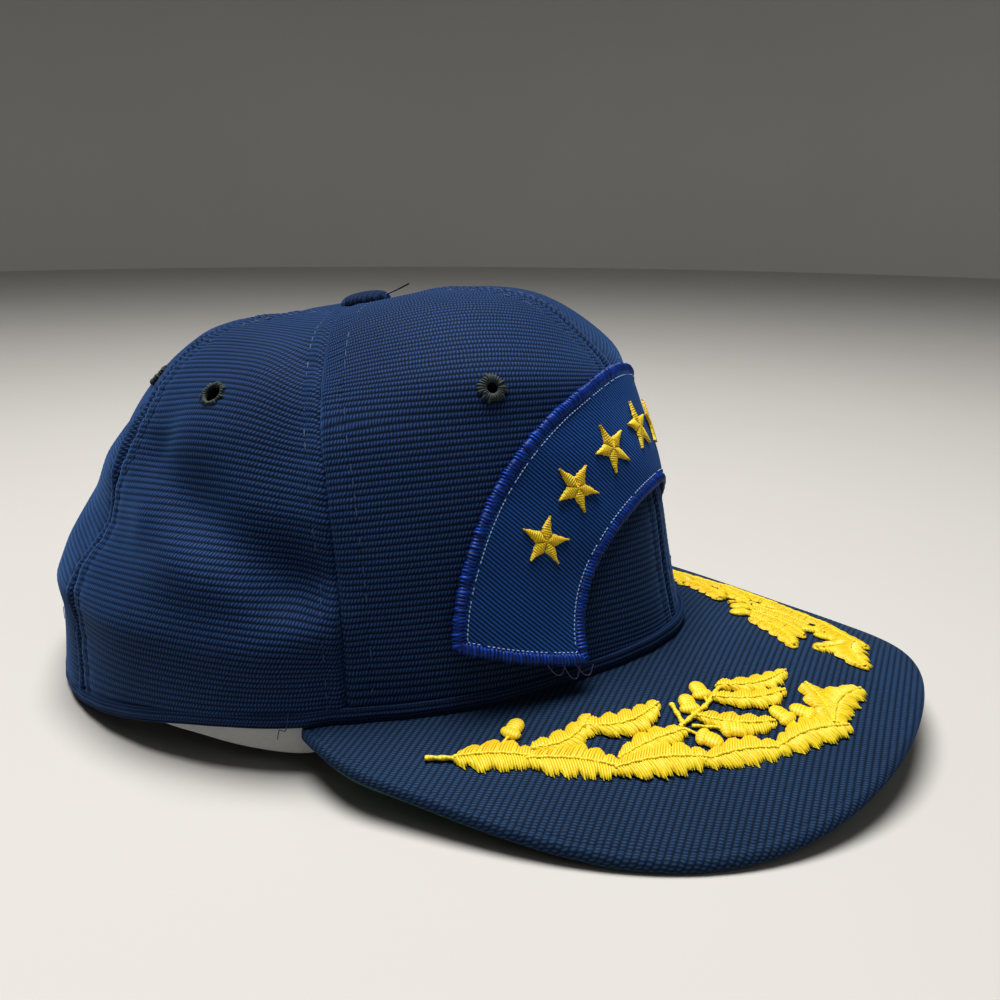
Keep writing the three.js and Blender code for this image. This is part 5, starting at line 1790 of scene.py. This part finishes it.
class CAP_OT_eyelets(bpy.types.Operator):
    """The wound thread rings of the eyelets"""
    bl_idname = "cap.eyelets"
    bl_label = "Eyelets"

    def execute(self, context):
        for hand, side in (("right", 1), ("left", -1)):
            for gore in GORES:
                piece = make_eyelet(side, gore, hand)
                finish_piece(piece, material("eyelet_thread_dark"), "eyelet_thread", f"{gore}_eyelet_{hand}")
        return {"FINISHED"}


class CAP_OT_stitching(bpy.types.Operator):
    """The broken rows of stitches beside the seams"""
    bl_idname = "cap.stitching"
    bl_label = "Seam stitches"

    def execute(self, context):
        piece = lay_stitches("seam_stitches", stitch_rows(), in_mm("stitch_pitch"), 2.3, 0.16, 0.68, 40)
        finish_piece(piece, material("seam_thread"), "crown_cloth")
        finish_piece(make_dark_ends(), material("loose_thread_dark"), "crown_cloth")
        finish_piece(make_patch_ends(), material("violet_thread"), "merrow_thread")
        return {"FINISHED"}


class CAP_OT_bands(bpy.types.Operator):
    """The rolled hem, the bound opening, the sweatband and the strap"""
    bl_idname = "cap.bands"
    bl_label = "Bands and strap"

    def execute(self, context):
        finish_piece(make_hem(), material("hem_ribbed"), "hem_cloth", "crown_hem")
        finish_piece(make_binding(), material("hem_ribbed"), "hem_cloth", "opening_binding")
        finish_piece(make_sweatband(), material("band_weave"), "sweatband_cloth", "sweatband")
        finish_piece(make_strap(), material("strap_plastic_dark"), "strap_plastic", "rear_strap")
        return {"FINISHED"}


class CAP_OT_button(bpy.types.Operator):
    """The cloth covered button on top"""
    bl_idname = "cap.button"
    bl_label = "Top button"

    def execute(self, context):
        finish_piece(make_button(), material("button_ribbed"), "button_cloth", "crown_button")
        return {"FINISHED"}


class CAP_OT_peak(bpy.types.Operator):
    """The peak's upper and lower cloth and its green underside"""
    bl_idname = "cap.peak"
    bl_label = "Peak"

    def execute(self, context):
        piece = make_peak()
        shade(piece, 60)
        finish_piece(piece, material("peak_ribbed"), "brim_cloth", "brim")
        finish_piece(make_underside(), material("green_weave"), "green_cloth", "brim_underside")
        return {"FINISHED"}


class CAP_OT_patch(bpy.types.Operator):
    """The arched twill patch, its overlocked edge and its satin stars"""
    bl_idname = "cap.patch"
    bl_label = "Patch"

    def execute(self, context):
        finish_piece(make_patch(), material("patch_twill_cloth"), "patch_twill", "patch")
        finish_piece(make_border(), material("edge_thread"), "merrow_thread", "patch_border")
        finish_piece(border_dots(), material("pale_thread"), "merrow_thread")
        for number in range(STAR_COUNT):
            finish_piece(make_star(number), material("satin_gold"), "gold_thread", f"patch_star_{number + 1}")
        return {"FINISHED"}


class CAP_OT_embroidery(bpy.types.Operator):
    """The two branches of satin leaves and acorns on the peak"""
    bl_idname = "cap.embroidery"
    bl_label = "Leaf embroidery"

    def execute(self, context):
        for hand, side in (("right", 1), ("left", -1)):
            piece = make_embroidery(side, hand)
            finish_piece(piece, material("satin_gold"), "gold_thread", f"brim_embroidery_{hand}")
        return {"FINISHED"}


class CAP_OT_stage(bpy.types.Operator):
    """A plain pale floor, soft lights and the camera"""
    bl_idname = "cap.stage"
    bl_label = "Stage"

    def execute(self, context):
        build_stage()
        return {"FINISHED"}


# The camera's place from the button's axis in millimetres, and its look along a direction
CAMERA_PLACE = (-253.8, -154.7, 134.35)
CAMERA_FORWARD = (0.8773, 0.3866, -0.2845)
CAMERA_ROLL = math.radians(0.42)
CAMERA_LENS = 35.85
FLOOR_SIZE = 6.0
WALL_RADIUS = 2.0
WALL_HEIGHT = 4.0
ROOM_LIGHT = 0.08


def soft_light(name, place, target, size, energy, colour):
    deselect()
    bpy.ops.object.light_add(type="AREA", location=place)
    light = bpy.context.object
    light.name = name
    light.data.shape = "DISK"
    light.data.size = size
    light.data.energy = energy
    light.data.color = colour
    light.rotation_euler = (Vector(target) - Vector(place)).to_track_quat("-Z", "Y").to_euler()


def build_stage():
    deselect()
    bpy.ops.mesh.primitive_plane_add(size=FLOOR_SIZE)
    floor = bpy.context.object
    floor.name = "floor"
    paint, w, shader, place = new_material("pale_floor")
    grain = w.noise(place, 3.0, 3.0)
    w.put(shader, "Base Color", w.mix(grain, (0.40, 0.39, 0.375, 1), (0.43, 0.42, 0.405, 1)))
    shader.inputs["Roughness"].default_value = 0.75
    floor.data.materials.append(paint)
    deselect()
    bpy.ops.mesh.primitive_cylinder_add(vertices=96, radius=WALL_RADIUS, depth=WALL_HEIGHT,
                                        end_fill_type="NOTHING")
    wall = bpy.context.object
    wall.name = "backdrop"
    in_edit(wall, bpy.ops.mesh.flip_normals)
    shade(wall, 30)
    wall.data.materials.append(paint)
    soft_light("key_light", (-0.04, 0.10, 1.10), (0, 0.0, 0.05), 0.7, 21, (1.0, 0.985, 0.96))
    soft_light("front_light", (-0.55, -0.75, 0.95), (0, -0.02, 0.03), 0.9, 1.2, (0.97, 0.985, 1.0))
    world = bpy.data.worlds.new("soft_room")
    world.use_nodes = True
    background = world.node_tree.nodes["Background"]
    background.inputs["Color"].default_value = (0.90, 0.93, 0.97, 1)
    background.inputs["Strength"].default_value = ROOM_LIGHT
    bpy.context.scene.world = world
    bpy.context.scene.view_settings.view_transform = "Standard"
    bpy.context.scene.view_settings.look = "Medium High Contrast"
    deselect()
    bpy.ops.object.camera_add(location=Vector(CAMERA_PLACE) * MM + Vector((0, AXIS_Y * MM, 0)))
    camera = bpy.context.object
    camera.name = "photo_camera"
    aim = Vector(CAMERA_FORWARD).to_track_quat("-Z", "Y").to_matrix().to_4x4()
    camera.matrix_world = Matrix.Translation(camera.location) @ aim @ Matrix.Rotation(CAMERA_ROLL, 4, "Z")
    camera.data.sensor_width = 36
    camera.data.lens = CAMERA_LENS
    camera.data.clip_start = 0.01
    bpy.context.scene.camera = camera


class CAP_PT_panel(bpy.types.Panel):
    bl_idname = "CAP_PT_panel"
    bl_label = "Ribbed cap"
    bl_space_type = "VIEW_3D"
    bl_region_type = "UI"
    bl_category = "Cap"

    def draw(self, context):
        for group in (context.scene.cap_sizes, context.scene.cap_colours):
            for name in group.bl_rna.properties.keys():
                if name not in ("rna_type", "name"):
                    self.layout.prop(group, name)
        for operator in OPERATORS:
            self.layout.operator(operator.bl_idname)


OPERATORS = (CAP_OT_crown, CAP_OT_eyelets, CAP_OT_stitching, CAP_OT_bands, CAP_OT_button,
             CAP_OT_peak, CAP_OT_patch, CAP_OT_embroidery, CAP_OT_stage)
CLASSES = (CapSizes, CapColours, *OPERATORS, CAP_PT_panel)


def register():
    for each in CLASSES:
        bpy.utils.register_class(each)
    bpy.types.Scene.cap_sizes = PointerProperty(type=CapSizes)
    bpy.types.Scene.cap_colours = PointerProperty(type=CapColours)


def unregister():
    del bpy.types.Scene.cap_sizes
    del bpy.types.Scene.cap_colours
    for each in reversed(CLASSES):
        bpy.utils.unregister_class(each)


def main():
    register()
    bpy.ops.cap.crown()
    bpy.ops.cap.eyelets()
    bpy.ops.cap.stitching()
    bpy.ops.cap.bands()
    bpy.ops.cap.button()
    bpy.ops.cap.peak()
    bpy.ops.cap.patch()
    bpy.ops.cap.embroidery()
    bpy.ops.cap.stage()


if __name__ == "__main__":
    main()
